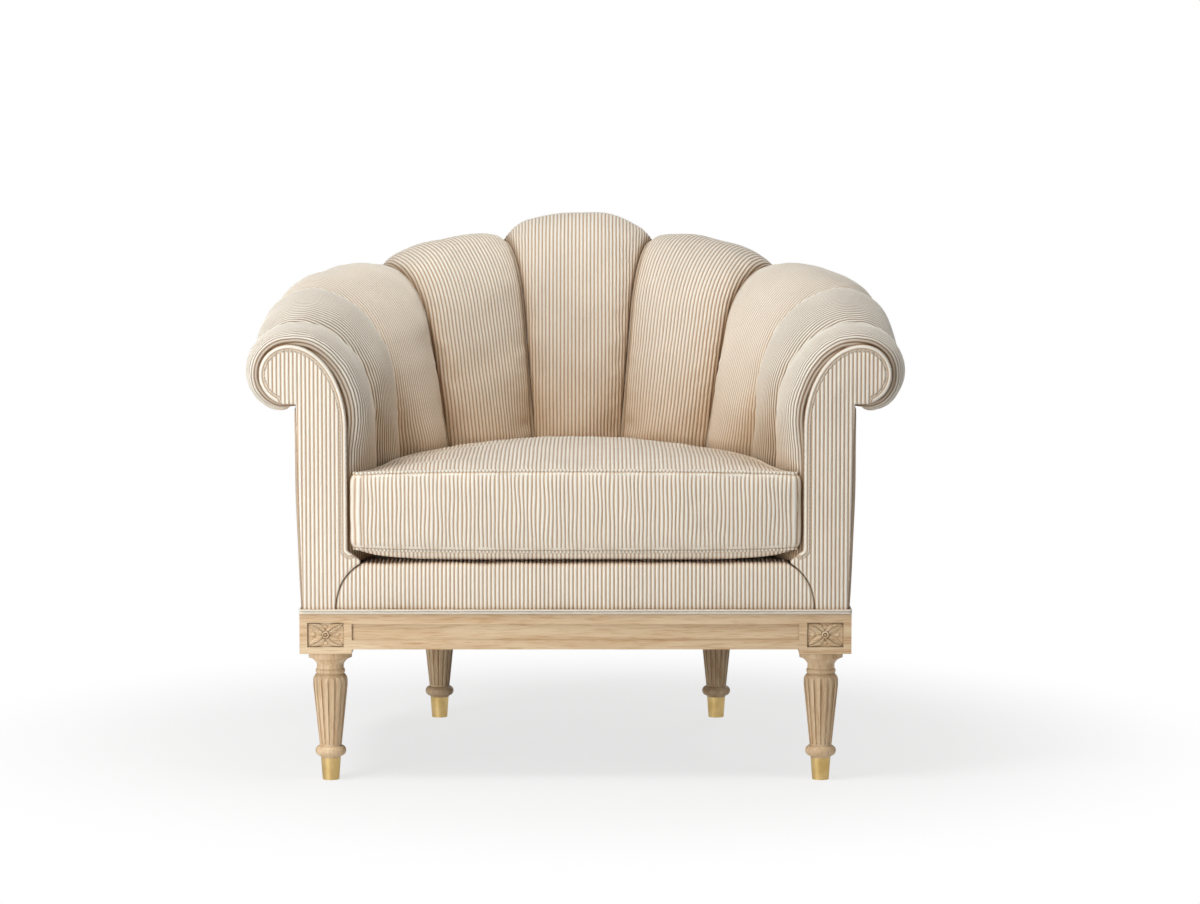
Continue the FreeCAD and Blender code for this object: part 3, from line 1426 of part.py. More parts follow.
for item in doc.Objects:
    if "Invalid" in item.State or "Error" in item.State:
        raise RuntimeError(f"{item.Label} did not compute")
faulty = [piece.Label for piece in nodes if piece.Shape.isNull() or not piece.Shape.isValid()]
if faulty:
    raise RuntimeError("No valid shape: " + ", ".join(faulty))
os.makedirs("parts", exist_ok=True)
for piece in nodes:
    piece.Shape.exportStep(f"parts/{piece.Label}.step")
print(f"{len(nodes)} nodes")
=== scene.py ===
"""Looks of the channel back armchair: corduroy upholstery, show-wood base, stage, light and camera."""
import json
import logging
import math
from dataclasses import dataclass
from enum import Enum

import bmesh
import bpy
import numpy as np
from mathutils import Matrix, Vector
from mathutils.kdtree import KDTree


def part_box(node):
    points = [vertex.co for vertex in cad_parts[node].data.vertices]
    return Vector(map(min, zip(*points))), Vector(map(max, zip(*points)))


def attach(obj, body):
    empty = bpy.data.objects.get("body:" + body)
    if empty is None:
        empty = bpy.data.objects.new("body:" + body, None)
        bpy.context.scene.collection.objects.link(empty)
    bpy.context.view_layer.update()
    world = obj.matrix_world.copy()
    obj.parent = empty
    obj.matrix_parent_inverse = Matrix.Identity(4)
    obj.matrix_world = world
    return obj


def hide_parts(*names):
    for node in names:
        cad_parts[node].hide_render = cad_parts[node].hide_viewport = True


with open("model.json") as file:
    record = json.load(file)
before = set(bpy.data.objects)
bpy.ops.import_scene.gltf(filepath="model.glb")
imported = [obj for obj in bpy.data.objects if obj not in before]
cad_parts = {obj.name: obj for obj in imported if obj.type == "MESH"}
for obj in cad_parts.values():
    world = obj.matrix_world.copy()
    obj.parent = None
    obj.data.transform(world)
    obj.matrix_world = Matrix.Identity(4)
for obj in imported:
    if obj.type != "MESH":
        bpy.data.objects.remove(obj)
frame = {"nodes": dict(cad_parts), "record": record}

log = logging.getLogger("armchair")
MM = 0.001
SIDES = {"left": -1, "right": 1}
PITCH = 5.8  # distance between the corduroy's wales
MERGE_MM = 0.02  # points nearer than this become one
ARM_FRONT = 0.7  # how far the foremost channel's box stands before the plane that depths count from
UP = np.array([0.0, 0.0, 1.0])
MIRROR = np.array([-1, 1])  # turns the right half of a plan into the left one


# Small tools


def linear(hex_colour: str) -> tuple[float, float, float, float]:
    """Turn an sRGB hex colour into a linear one.

    Args:
        hex_colour: six hex digits after a hash sign.

    Returns:
        Linear red, green, blue and an alpha of 1.
    """
    parts = [int(hex_colour[index:index + 2], 16) / 255.0 for index in (1, 3, 5)]
    parts = [part / 12.92 if part <= 0.04045 else ((part + 0.055) / 1.055) ** 2.4 for part in parts]
    return parts[0], parts[1], parts[2], 1.0


def fill_node(node: bpy.types.Node, settings: dict | None = None, links: dict | None = None) -> None:
    """Set a node's values and link its inputs.

    Args:
        node: the node.
        settings: values of its properties, or of its inputs by name or number.
        links: what goes to each input, by name or number: an output, or a node for its first one in use.
    """
    for key, value in (settings or {}).items():
        if isinstance(key, str) and hasattr(node, key):
            setattr(node, key, value)
        else:
            node.inputs[key].default_value = value
    for key, source in (links or {}).items():
        if isinstance(source, bpy.types.Node):
            source = next(socket for socket in source.outputs if socket.enabled)
        node.id_data.links.new(source, node.inputs[key])


def add_node(tree: bpy.types.NodeTree, kind: str, settings: dict | None = None,
             links: dict | None = None) -> bpy.types.Node:
    """Add a shader node, its kind given without the ShaderNode prefix, and fill it in."""
    node = tree.nodes.new("ShaderNode" + kind)
    fill_node(node, settings, links)
    return node


def smooth_step(value: np.ndarray, low: float, high: float) -> np.ndarray:
    """Ease from 0 at low to 1 at high."""
    part = np.clip((value - low) / (high - low), 0.0, 1.0)
    return part * part * (3.0 - 2.0 * part)


def wander(points: np.ndarray, size: float, seed: int) -> np.ndarray:
    """Slow, seeded unevenness of hand-stuffed cloth.

    Args:
        points: places in millimetres, last axis x, depth, height.
        size: length of its waves in millimetres.
        seed: seed of its directions.

    Returns:
        Values from about -1 to 1.
    """
    rng = np.random.default_rng(seed)
    waves, peak = 6, 3.5
    total = np.zeros(points.shape[:-1])
    for _ in range(waves):
        way = rng.normal(size=3)
        way *= rng.uniform(0.6, 1.4) * 2.0 * math.pi / (size * np.linalg.norm(way))
        total += np.sin(points @ way + rng.uniform(0.0, 6.3))
    return total / peak


def crowded(count: int) -> np.ndarray:
    """Places from -1 to 1 that crowd towards both ends."""
    return np.sin(np.linspace(-math.pi / 2, math.pi / 2, count))


def dome(away: np.ndarray) -> np.ndarray:
    """Height of a round top: 1 in the middle and 0 from a distance of 1."""
    return np.sqrt(np.clip(1 - away**2, 0, None))


def run_of(path: np.ndarray) -> np.ndarray:
    """Length along a path at each of its points."""
    return np.concatenate([[0.0], np.cumsum(np.linalg.norm(np.diff(path, axis=0), axis=1))])


def along_path(places: np.ndarray, run: np.ndarray, path: np.ndarray) -> np.ndarray:
    """Points of a path in the plane at given lengths along it."""
    return np.stack([np.interp(places, run, path[:, axis]) for axis in (0, 1)], 1)


def between(first: np.ndarray, last: np.ndarray, share: np.ndarray) -> np.ndarray:
    """Points blended from the first, where share is 0, to the last, where it is 1."""
    first, last, share = first[..., None, :], last[..., None, :], share[:, None]
    return first * (1 - share) + last * share


def distance_to(spots: np.ndarray, line: np.ndarray) -> np.ndarray:
    """Distance of each spot of a grid from the nearest point of a line."""
    nearest = np.full(spots.shape[:-1], np.inf)
    for start in range(0, len(line), 40):
        away = np.linalg.norm(spots[:, :, None] - line[None, None, start:start + 40], axis=-1)
        nearest = np.minimum(nearest, away.min(-1))
    return nearest


# Sizes of the frame that the fabric follows, in millimetres; depth counts backwards from the arm fronts


def plan_depth() -> float:
    """Depth of the middle of the chair behind the arm fronts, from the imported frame."""
    return ARM_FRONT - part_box("channel_right_4")[0][1] / MM


MIDDLE = plan_depth()


def to_frame(points: np.ndarray) -> np.ndarray:
    """Move points from x, depth, height in millimetres to the frame in metres."""
    return (points - np.array([0.0, MIDDLE, 0.0])) * MM


@dataclass(frozen=True)
class Outline:
    """Base outline of the chair seen from above."""

    half_width: float = 391.0
    back: float = 670.0
    shoulder_radius: float = 260.0
    back_radius: float = 600.0

    def centres(self) -> tuple[np.ndarray, np.ndarray, float]:
        """Centres of the shoulder and back arcs, and the angle where they meet."""
        back = np.array([0.0, self.back - self.back_radius])
        side = self.half_width - self.shoulder_radius
        reach = math.sqrt((self.back_radius - self.shoulder_radius) ** 2 - side**2)
        return np.array([side, back[1] + reach]), back, math.atan2(side, reach)

    def length(self) -> float:
        """Distance from the back's centre to the plane of the arm fronts."""
        shoulder, _, meet = self.centres()
        return self.back_radius * meet + self.shoulder_radius * (math.pi / 2 - meet) + shoulder[1]

    def at(self, reach: float) -> tuple[np.ndarray, np.ndarray]:
        """Point and outward direction at a distance from the back's centre, on the right half."""
        shoulder, back, meet = self.centres()
        back_arc = self.back_radius * meet
        shoulder_arc = self.shoulder_radius * (math.pi / 2 - meet)
        if reach < back_arc:
            angle, centre, radius = reach / self.back_radius, back, self.back_radius
        elif reach < back_arc + shoulder_arc:
            angle = meet + (reach - back_arc) / self.shoulder_radius
            centre, radius = shoulder, self.shoulder_radius
        else:
            depth = shoulder[1] - (reach - back_arc - shoulder_arc)
            return np.array([self.half_width, depth]), np.array([1.0, 0.0])
        outward = np.array([math.sin(angle), math.cos(angle)])
        return centre + outward * radius, outward

    def rear_corner(self, inset: float) -> tuple[np.ndarray, np.ndarray]:
        """Point inside the outline where the right shoulder meets the back, and its outward direction."""
        _, back, meet = self.centres()
        way = np.array([math.sin(meet), math.cos(meet)])
        return back + way * (self.back_radius - inset), way

    def around(self, inset: float, front: float, step: float = 4.0) -> np.ndarray:
        """Open loop of points inside the outline, from the front left round the back to the front right."""
        reaches = np.linspace(0.0, self.length() - front, int((self.length() - front) / step))
        right = np.array([self.at(reach)[0] - self.at(reach)[1] * inset for reach in reaches])
        return np.concatenate([(right * MIRROR)[::-1], right[1:]])


OUTLINE = Outline()


@dataclass(frozen=True)
class Back:
    """Shape of the channelled back: one value for each seam, from the centre channel to the arm front."""

    seat_half: float = 321.0
    seat_depth: float = 530.0
    roundness: float = 2.22
    centre_half: float = 68.5
    seat: float = 445.0
    foot: float = 315.4
    roll: float = 44.0
    pad: float = 24.0
    tack: float = 14.0
    notch: float = 8.0
    places: tuple[float, ...] = (0.0, 0.5, 1.5, 2.5, 3.5, 4.5)
    reach: tuple[float, ...] = (117.0, 316.0, 580.0, 778.0)
    hang: tuple[float, ...] = (-8.0, -4.0, 7.0, 15.0, 13.0)
    sweep: tuple[float, ...] = (67.0, 90.0, 99.0, 85.0, 83.0)
    rise: tuple[float, ...] = (103.0, 84.0, 123.0, 120.0, 122.0)
    crest: tuple[float, ...] = (743.0, 706.0, 677.0, 632.0, 626.0)
    bulges: tuple[tuple[float, float, float], ...] = (
        (28.0, 45.0, 19.0), (32.0, 24.0, 18.0), (35.0, 15.0, 15.0), (34.0, 22.0, 23.0), (32.0, 18.0, 20.0))

    def seat_curve(self) -> tuple[np.ndarray, np.ndarray]:
        """Lengths along the seat's plan curve and its points."""
        angle = np.linspace(0.0, math.pi / 2, 601)
        power = 2.0 / self.roundness
        points = np.stack([self.seat_half * np.sin(angle) ** power,
                           self.seat_depth * np.clip(np.cos(angle), 0.0, None) ** power], 1)
        return run_of(points), points


BACK = Back()
SEAT_LENGTHS, SEAT_POINTS = BACK.seat_curve()


class Rib:
    """Upright plane through the back, with the wall, crest and roll of the channels in it."""

    def __init__(self, place: float) -> None:
        knots = BACK.places
        step = (SEAT_LENGTHS[-1] - BACK.centre_half) / 4
        side = -1.0 if place < 0 else 1.0
        place = abs(place)
        length = np.interp(place, knots, [0.0] + [BACK.centre_half + step * seam for seam in range(5)])
        root = np.array([np.interp(length, SEAT_LENGTHS, SEAT_POINTS[:, axis]) for axis in (0, 1)])
        spot, outward = OUTLINE.at(np.interp(place, knots, (0.0,) + BACK.reach + (OUTLINE.length(),)))
        values = [np.interp(place, knots, (row[0],) + row)
                  for row in (BACK.hang, BACK.sweep, BACK.rise, BACK.crest)]
        away = spot + outward * values[0] - root
        self.sweep, self.rise, self.crest = values[1:]
        self.reach = float(np.linalg.norm(away))
        away /= self.reach
        self.lean = (self.reach - self.sweep) / (self.crest - BACK.seat)
        self.root = np.array([root[0] * side, root[1], 0.0])
        self.away = np.array([away[0] * side, away[1], 0.0])

    def place(self, flat: np.ndarray) -> np.ndarray:
        """Points in space of distances out and heights in the plane."""
        return self.root + self.heading(flat)

    def heading(self, flat: np.ndarray) -> np.ndarray:
        """Directions in space of directions in the plane."""
        return self.away * flat[..., :1] + UP * flat[..., 1:2]

    def stations(self, spacing: float) -> tuple[np.ndarray, np.ndarray, np.ndarray, np.ndarray]:
        """Line of the channel from its foot over the crest to the tack line.

        Args:
            spacing: distance between stations in millimetres, at the middle of the back.

        Returns:
            Points and normals in the plane, how far the face climbs and how far the roll has turned.
        """
        foot, face, arc, roll = (round(length / spacing) for length in (130, 200, 150, 180))
        start = self.crest - self.rise
        noted = []  # distance out, height, normal out and up, climb, turn
        for height in np.linspace(BACK.foot, BACK.seat, foot, endpoint=False):
            noted.append((0.0, height, -1.0, 0.0, 0.0, 0.0))
        slope = math.hypot(1.0, self.lean)
        for share in np.linspace(0.0, 1.0, face, endpoint=False):
            height = BACK.seat + share * (start - BACK.seat)
            climb = (height - BACK.seat) / (self.crest - BACK.seat)
            out = self.lean * (height - BACK.seat)
            noted.append((out, height, -1.0 / slope, self.lean / slope, climb, 0.0))
        for angle in np.radians(np.linspace(0.0, 90.0, arc, endpoint=False)):
            height = start + self.rise * math.sin(angle)
            out = self.lean * (height - BACK.seat) + self.sweep * (1.0 - math.cos(angle))
            run = self.lean * self.rise * math.cos(angle) + self.sweep * math.sin(angle)
            steep = self.rise * math.cos(angle)
            size = math.hypot(run, steep)
            climb = (height - BACK.seat) / (self.crest - BACK.seat)
            noted.append((out, height, -steep / size, run / size, climb, 0.0))
        for angle in np.radians(np.linspace(90.0, -89.0, roll)):
            across, up = math.cos(angle), math.sin(angle)
            height = self.crest - BACK.roll + BACK.roll * up
            turn = (math.pi / 2 - angle) / math.pi
            noted.append((self.reach + BACK.roll * across, height, across, up, 1.0, turn))
        noted.append((self.reach - BACK.tack, self.crest - 2 * BACK.roll, 0.0, -1.0, 1.0, 1.0))
        table = np.array(noted)
        return table[:, :2], table[:, 2:4], table[:, 4], table[:, 5]

    def base_reach(self) -> float:
        """Distance out to the base outline in this plane."""
        halvings = 40
        low, high = 0.0, 400.0
        for _ in range(halvings):
            middle = (low + high) / 2
            low, high = (middle, high) if self.inside(self.root + self.away * middle) else (low, middle)
        return low

    @staticmethod
    def inside(spot: np.ndarray) -> bool:
        """Whether a point lies within the base outline."""
        shoulder, back, meet = OUTLINE.centres()
        across = abs(spot[0])
        if spot[1] <= shoulder[1]:
            return across <= OUTLINE.half_width
        if math.atan2(across, spot[1] - back[1]) < meet:
            return math.hypot(across, spot[1] - back[1]) <= OUTLINE.back_radius
        return math.hypot(across - shoulder[0], spot[1] - shoulder[1]) <= OUTLINE.shoulder_radius


# Finishes


class Along(Enum):
    """Axis that a wood's grain runs along."""

    ACROSS = (0.06, 1.0, 1.0)
    BACKWARDS = (1.0, 0.06, 1.0)
    UPWARDS = (1.0, 1.0, 0.06)


@dataclass(frozen=True)
class Corduroy:
    """Jumbo cotton corduroy, cut pile: matt rounded wales with a soft light rim and bare ground between."""

    name: str = "cotton_corduroy"
    wale: str = "#F6F1E5"
    # tone of the bare ground between the wales, darkened with painted shade of the grooves
    ground: str = "#B08553"
    # colour that folds, seams and gaps are pulled towards as painted shade
    painted_shade: str = "#8F7355"
    # warm tone multiplied in as painted shade in deep folds
    glow: str = "#D7B586"
    fold_mm: float = 200.0
    pitch_mm: float = 5.8
    pile_mm: float = 0.9
    brush_mm: float = 1000.0 / 14.0
    roughness: float = 0.95
    sheen: float = 0.45
    relief: float = 0.35
    ridge: float = 0.7

    def make(self) -> bpy.types.Material:
        """Build the material from the wale distance and the painted shade of folds stored on the meshes."""
        material, tree, shader = new_material(self.name)
        across = add_node(tree, "Attribute", {"attribute_name": "across"})
        phase = add_node(tree, "Math", {"operation": "MULTIPLY", 1: math.pi / self.pitch_mm},
                         {0: across.outputs["Fac"]})
        wave = add_node(tree, "Math", {"operation": "COSINE"}, {0: phase})
        height = add_node(tree, "Math", {"operation": "ABSOLUTE"}, {0: wave})
        ridge = add_node(tree, "Math", {"operation": "POWER", 1: self.ridge}, {0: height})
        spot = add_node(tree, "TexCoord").outputs["Object"]
        pile = add_node(tree, "TexNoise", {"Scale": 1000.0 / self.pile_mm, "Detail": 2.0}, {"Vector": spot})
        brush = add_node(tree, "TexNoise", {"Scale": 1000.0 / self.brush_mm, "Detail": 3.0}, {"Vector": spot})
        shade = add_node(tree, "Mix", {"data_type": "RGBA", "A": linear(self.ground), "B": linear(self.wale)},
                         {"Factor": ridge})
        tuft = add_node(tree, "MapRange", {"From Min": 0.3, "From Max": 0.7, "To Min": 0.93, "To Max": 1.04},
                        {"Value": pile})
        rubbed = add_node(tree, "MapRange",
                          {"From Min": 0.35, "From Max": 0.65, "To Min": 0.97, "To Max": 1.02},
                          {"Value": brush})
        both = add_node(tree, "Math", {"operation": "MULTIPLY"}, {0: tuft, 1: rubbed})
        tinted = add_node(tree, "VectorMath", {"operation": "SCALE"},
                          {0: shade, "Scale": both})
        # painted shade: darker towards the shade colour where the mesh marks a fold, seam or gap
        crease_shade = add_node(tree, "Attribute", {"attribute_name": "crease_shade"})
        fold_shaded = add_node(tree, "Mix", {"data_type": "RGBA", "B": linear(self.painted_shade)},
                        {"Factor": crease_shade.outputs["Fac"], "A": tinted})
        # painted shade: ambient occlusion darkens and warms the cloth in deep folds and between the channels
        open_sky = add_node(tree, "AmbientOcclusion", {"Distance": self.fold_mm * MM, "samples": 4})
        occlusion_shade = add_node(tree, "MapRange", {"From Min": 0.85, "From Max": 0.44, "To Max": 0.75},
                        {"Value": open_sky.outputs["AO"]})
        warm_occlusion_shade = add_node(tree, "Mix", {"data_type": "RGBA", "blend_type": "MULTIPLY", "B": linear(self.glow)},
                        {"Factor": occlusion_shade, "A": fold_shaded})
        level = add_node(tree, "Math", {"operation": "MULTIPLY_ADD", 1: 0.25},
                         {0: pile, 2: ridge})
        bump = add_node(tree, "Bump", {"Strength": self.relief, "Distance": 0.0012},
                        {"Height": level})
        fill_node(shader, {"Roughness": self.roughness, "Sheen Weight": self.sheen, "Sheen Roughness": 0.4,
                           "Specular IOR Level": 0.2}, {"Base Color": warm_occlusion_shade, "Normal": bump})
        return material


@dataclass(frozen=True)
class Wood:
    """Planed or turned wood: long pores and rings along its grain, satin where it is oiled."""

    name: str
    early: str
    late: str
    along: Along
    grain_mm: float = 5.0
    roughness: float = 0.5
    coat: float = 0.1
    # reach and strength of the painted shade in recesses
    hollow_mm: float = 6.0
    shade: float = 0.35

    def make(self) -> bpy.types.Material:
        """Build the material from stretched noise, with painted shade in its recesses."""
        material, tree, shader = new_material(self.name)
        spot = add_node(tree, "TexCoord").outputs["Object"]
        stretch = add_node(tree, "Mapping", {"Scale": self.along.value}, {"Vector": spot})
        rings = add_node(tree, "TexNoise",
                         {"Scale": 1.0 / (self.grain_mm * 2.2 * MM), "Detail": 4.0, "Distortion": 0.4},
                         {"Vector": stretch})
        pores = add_node(tree, "TexNoise", {"Scale": 1.0 / (self.grain_mm * 0.35 * MM), "Detail": 3.0},
                         {"Vector": stretch})
        bands = add_node(tree, "MapRange", {"From Min": 0.32, "From Max": 0.68},
                         {"Value": rings})
        specks = add_node(tree, "MapRange", {"From Min": 0.35, "From Max": 0.5},
                          {"Value": pores})
        mixed = add_node(tree, "Math", {"operation": "MULTIPLY_ADD", 1: 0.55, 2: 0.0}, {0: bands})
        grain = add_node(tree, "Math", {"operation": "MULTIPLY_ADD", 1: 0.45, "use_clamp": True},
                         {0: specks, 2: mixed})
        colour = add_node(tree, "Mix", {"data_type": "RGBA", "A": linear(self.late), "B": linear(self.early)},
                          {"Factor": grain})
        # painted shade: ambient occlusion darkens the flutes, joints and recesses of the wood
        hollow = add_node(tree, "AmbientOcclusion", {"Distance": self.hollow_mm * MM, "samples": 6})
        occlusion_shade = add_node(tree, "Mix", {"data_type": "RGBA", "blend_type": "MULTIPLY", "Factor": self.shade},
                        {"A": colour, "B": hollow.outputs["Color"]})
        bump = add_node(tree, "Bump", {"Strength": 0.15, "Distance": 0.0004}, {"Height": grain})
        rough = add_node(tree, "MapRange", {"To Min": self.roughness + 0.12, "To Max": self.roughness - 0.05},
                         {"Value": grain})
        fill_node(shader, {"IOR": 1.5, "Coat Weight": self.coat, "Coat Roughness": 0.35},
                  {"Base Color": occlusion_shade, "Roughness": rough, "Normal": bump})
        return material


@dataclass(frozen=True)
class Metal:
    """Turned, drawn or cast metal: fine marks round its axis and uneven tarnish."""

    name: str
    bright: str
    dull: str
    mark_mm: float = 0.8
    patch_mm: float = 1000.0 / 45.0
    roughness: float = 0.3
    turned: bool = True

    def make(self) -> bpy.types.Material:
        """Build the material from noise squeezed into rings and slow tarnish."""
        material, tree, shader = new_material(self.name)
        spot = add_node(tree, "TexCoord").outputs["Object"]
        squeeze = (0.08, 0.08, 1.0) if self.turned else (1.0, 1.0, 1.0)
        rings = add_node(tree, "Mapping", {"Scale": squeeze}, {"Vector": spot})
        marks = add_node(tree, "TexNoise", {"Scale": 1.0 / (self.mark_mm * MM), "Detail": 2.0},
                         {"Vector": rings})
        patch = add_node(tree, "TexNoise", {"Scale": 1.0 / (self.patch_mm * MM), "Detail": 2.0},
                         {"Vector": spot})
        spread = add_node(tree, "MapRange", {"From Min": 0.38, "From Max": 0.62},
                          {"Value": patch})
        colour = add_node(tree, "Mix",
                          {"data_type": "RGBA", "A": linear(self.dull), "B": linear(self.bright)},
                          {"Factor": spread})
        rough = add_node(tree, "MapRange", {"To Min": self.roughness - 0.08, "To Max": self.roughness + 0.12},
                         {"Value": marks})
        bump = add_node(tree, "Bump", {"Strength": 0.12, "Distance": 0.0002},
                        {"Height": marks})
        fill_node(shader, {"Metallic": 1.0}, {"Base Color": colour, "Roughness": rough, "Normal": bump})
        return material


@dataclass(frozen=True)
class Weave:
    """Woven cloth with crossing threads, or needled or moulded filling with a fine even grain."""

    name: str
    light: str
    dark: str
    thread_mm: float
    roughness: float = 0.95
    woven: bool = True

    def make(self) -> bpy.types.Material:
        """Build the material from two crossed wave patterns or from fine noise."""
        material, tree, shader = new_material(self.name)
        spot = add_node(tree, "TexCoord").outputs["Object"]
        fuzz = add_node(tree, "TexNoise", {"Scale": 1.0 / (self.thread_mm * MM), "Detail": 4.0},
                        {"Vector": spot})
        height = fuzz
        if self.woven:
            waves = [add_node(tree, "TexWave",
                              {"bands_direction": way, "Scale": 0.314 / (self.thread_mm * MM) / 2,
                               "Distortion": 0.6, "Detail": 1.0}, {"Vector": spot}) for way in ("X", "Y")]
            height = add_node(tree, "Math", {"operation": "MAXIMUM"},
                              {0: waves[0].outputs["Fac"], 1: waves[1].outputs["Fac"]})
        spread = add_node(tree, "MapRange", {"From Min": 0.25, "From Max": 0.75}, {"Value": height})
        colour = add_node(tree, "Mix", {"data_type": "RGBA", "A": linear(self.dark), "B": linear(self.light)},
                          {"Factor": spread})
        bump = add_node(tree, "Bump", {"Strength": 0.4, "Distance": 0.0005}, {"Height": height})
        fill_node(shader, {"Roughness": self.roughness, "Sheen Weight": 0.15, "Specular IOR Level": 0.2},
                  {"Base Color": colour, "Normal": bump})
        return material


def new_material(name: str) -> tuple[bpy.types.Material, bpy.types.NodeTree, bpy.types.Node]:
    """Start a node material and return it with its tree and its shader."""
    material = bpy.data.materials.new(name)
    material.use_nodes = True
    return material, material.node_tree, material.node_tree.nodes["Principled BSDF"]


class Finishes:
    """All finishes of the chair, each made once."""

    def __init__(self) -> None:
        oak = {"early": "#E0C7A3", "late": "#BC9468", "coat": 0.08}
        beech = {"early": "#CFAE82", "late": "#A67C4C", "coat": 0.0, "roughness": 0.7, "along": Along.ACROSS}
        self.table = {finish.name: finish.make() for finish in (
            Corduroy(),
            Corduroy(name="corduroy_flat", relief=1.0),
            # for the arm channels: a darker ground and narrower light wales as painted shade of grooves seen
            # at a slant
            Corduroy(name="corduroy_groove_shade", ground="#7C5A35", ridge=1.05),
            Corduroy(name="corduroy_piping", pitch_mm=2.2, relief=0.5, ground="#D9C9B0"),
            Wood(name="oiled_oak_across", along=Along.ACROSS, **oak),
            Wood(name="oiled_oak_back", along=Along.BACKWARDS, **oak),
            Wood(name="oiled_oak_up", along=Along.UPWARDS, **oak),
            # the carving takes full painted shade in its hollows
            Wood(name="carved_oak", along=Along.ACROSS, hollow_mm=3.0, shade=1.0, **oak),
            Wood(name="planed_beech", **beech),
            Wood(name="birch_plywood", early="#D9C39A", late="#B08A58", along=Along.BACKWARDS, coat=0.0,
                 roughness=0.75, grain_mm=3.0),
            Metal(name="satin_brass", bright="#D2B67E", dull="#C2A468", roughness=0.36),
            Metal(name="cast_brass", bright="#CDB27C", dull="#BC9F66", roughness=0.38, turned=False),
            Metal(name="zinc_plated_steel", bright="#A9ABAE", dull="#808387", roughness=0.38, turned=False),
            Weave(name="decking_cotton", light="#DED3C0", dark="#B9AA92", thread_mm=1.2),
            Weave(name="woven_hessian", light="#B89B6E", dark="#7F6642", thread_mm=2.0),
            Weave(name="needled_felt", light="#E9E6DF", dark="#CFCBC1", thread_mm=3.0, woven=False),
            Weave(name="moulded_foam", light="#EFE6CC", dark="#DCCFAD", thread_mm=1.0, woven=False),
            Weave(name="black_dust_cloth", light="#2B2B2B", dark="#151515", thread_mm=1.5, woven=False),
            Weave(name="cotton_tape", light="#E2D8C6", dark="#BFB29B", thread_mm=0.8),
        )}

    def __getitem__(self, name: str) -> bpy.types.Material:
        """Material of a finish by its name."""
        return self.table[name]


# Meshes


class Piece:
    """Mesh in the making: points in millimetres, faces, and values for the cloth at each point."""

    def __init__(self) -> None:
        self.points: list[np.ndarray] = []
        self.values: dict[str, list[np.ndarray]] = {"across": [], "crease_shade": []}
        self.faces: list[tuple[int, ...]] = []
        self.count = 0

    def grid(self, points: np.ndarray, across: np.ndarray | float = 0.0, crease_shade: np.ndarray | float = 0.0,
             loop_columns: bool = False, loop_rows: bool = False, ends: bool = False) -> None:
        """Add a grid of points with its faces.

        Args:
            points: rows by columns of points.
            across: distance over the wales at each point.
            crease_shade: painted shade of a fold, seam or gap at each point.
            loop_columns: whether the last column joins the first.
            loop_rows: whether the last row joins the first.
            ends: whether one face closes each open end of a grid that is looped one way.
        """
        rows, columns = points.shape[:2]
        numbers = self.count + np.arange(rows * columns).reshape(rows, columns)
        self.count += rows * columns
        self.points.append(points.reshape(-1, 3))
        for name, value in (("across", across), ("crease_shade", crease_shade)):
            self.values[name].append(np.broadcast_to(np.asarray(value, float), (rows, columns)).reshape(-1))
        if ends:
            turned = numbers if loop_columns else numbers.T
            self.faces += [tuple(turned[0].tolist()), tuple(turned[-1][::-1].tolist())]
        if loop_columns:
            numbers = np.concatenate([numbers, numbers[:, :1]], 1)
        if loop_rows:
            numbers = np.concatenate([numbers, numbers[:1]], 0)
        quads = np.stack([numbers[:-1, :-1], numbers[:-1, 1:], numbers[1:, 1:], numbers[1:, :-1]], -1)
        self.faces.extend(map(tuple, quads.reshape(-1, 4).tolist()))

    def build(self, name: str, material: bpy.types.Material, smooth: bool = True) -> bpy.types.Object:
        """Make the object.

        Args:
            name: the object's name.
            material: its finish.
            smooth: whether it is shaded smoothly.

        Returns:
            The object, linked to the scene.
        """
        mesh = bpy.data.meshes.new(name)
        mesh.from_pydata(to_frame(np.concatenate(self.points)).tolist(), [], self.faces)
        for key, parts in self.values.items():
            mesh.attributes.new(key, "FLOAT", "POINT").data.foreach_set("value", np.concatenate(parts))
        work = bmesh.new()
        work.from_mesh(mesh)
        bmesh.ops.remove_doubles(work, verts=work.verts, dist=MERGE_MM * MM)
        bmesh.ops.dissolve_degenerate(work, edges=work.edges, dist=MERGE_MM * MM)
        bmesh.ops.recalc_face_normals(work, faces=work.faces)
        for face in work.faces:
            face.smooth = smooth
        work.to_mesh(mesh)
        work.free()
        mesh.materials.append(material)
        piece = bpy.data.objects.new(name, mesh)
        bpy.context.scene.collection.objects.link(piece)
        return piece


def sweep(piece: Piece, path: np.ndarray, normal: np.ndarray, profile: np.ndarray, closed: bool = False,
          slant: float = 0.0, crease_shade: float = 0.0) -> None:
    """Draw a profile along a path, as a cord, a seam or a welt.

    Args:
        piece: the mesh it goes into.
        path: points of the path in millimetres.
        normal: direction out of the cloth at each point.
        profile: closed loop of offsets, along the normal and beside it.
        closed: whether the path returns to its start.
        slant: how far the cord's twill runs ahead round the profile.
        crease_shade: painted shade of a fold on it.
    """
    if closed:
        ahead = np.roll(path, -1, 0) - np.roll(path, 1, 0)
    else:
        ahead = np.gradient(path, axis=0)
    ahead /= np.linalg.norm(ahead, axis=1, keepdims=True)
    normal = normal - ahead * (normal * ahead).sum(1, keepdims=True)
    normal /= np.linalg.norm(normal, axis=1, keepdims=True)
    beside = np.cross(ahead, normal)
    points = path[:, None] + normal[:, None] * profile[None, :, :1] + beside[:, None] * profile[None, :, 1:2]
    run = run_of(path)
    across = run[:, None] + slant * np.linspace(0.0, 1.0, len(profile))[None]
    piece.grid(points, across, crease_shade, loop_columns=True, loop_rows=closed, ends=not closed)


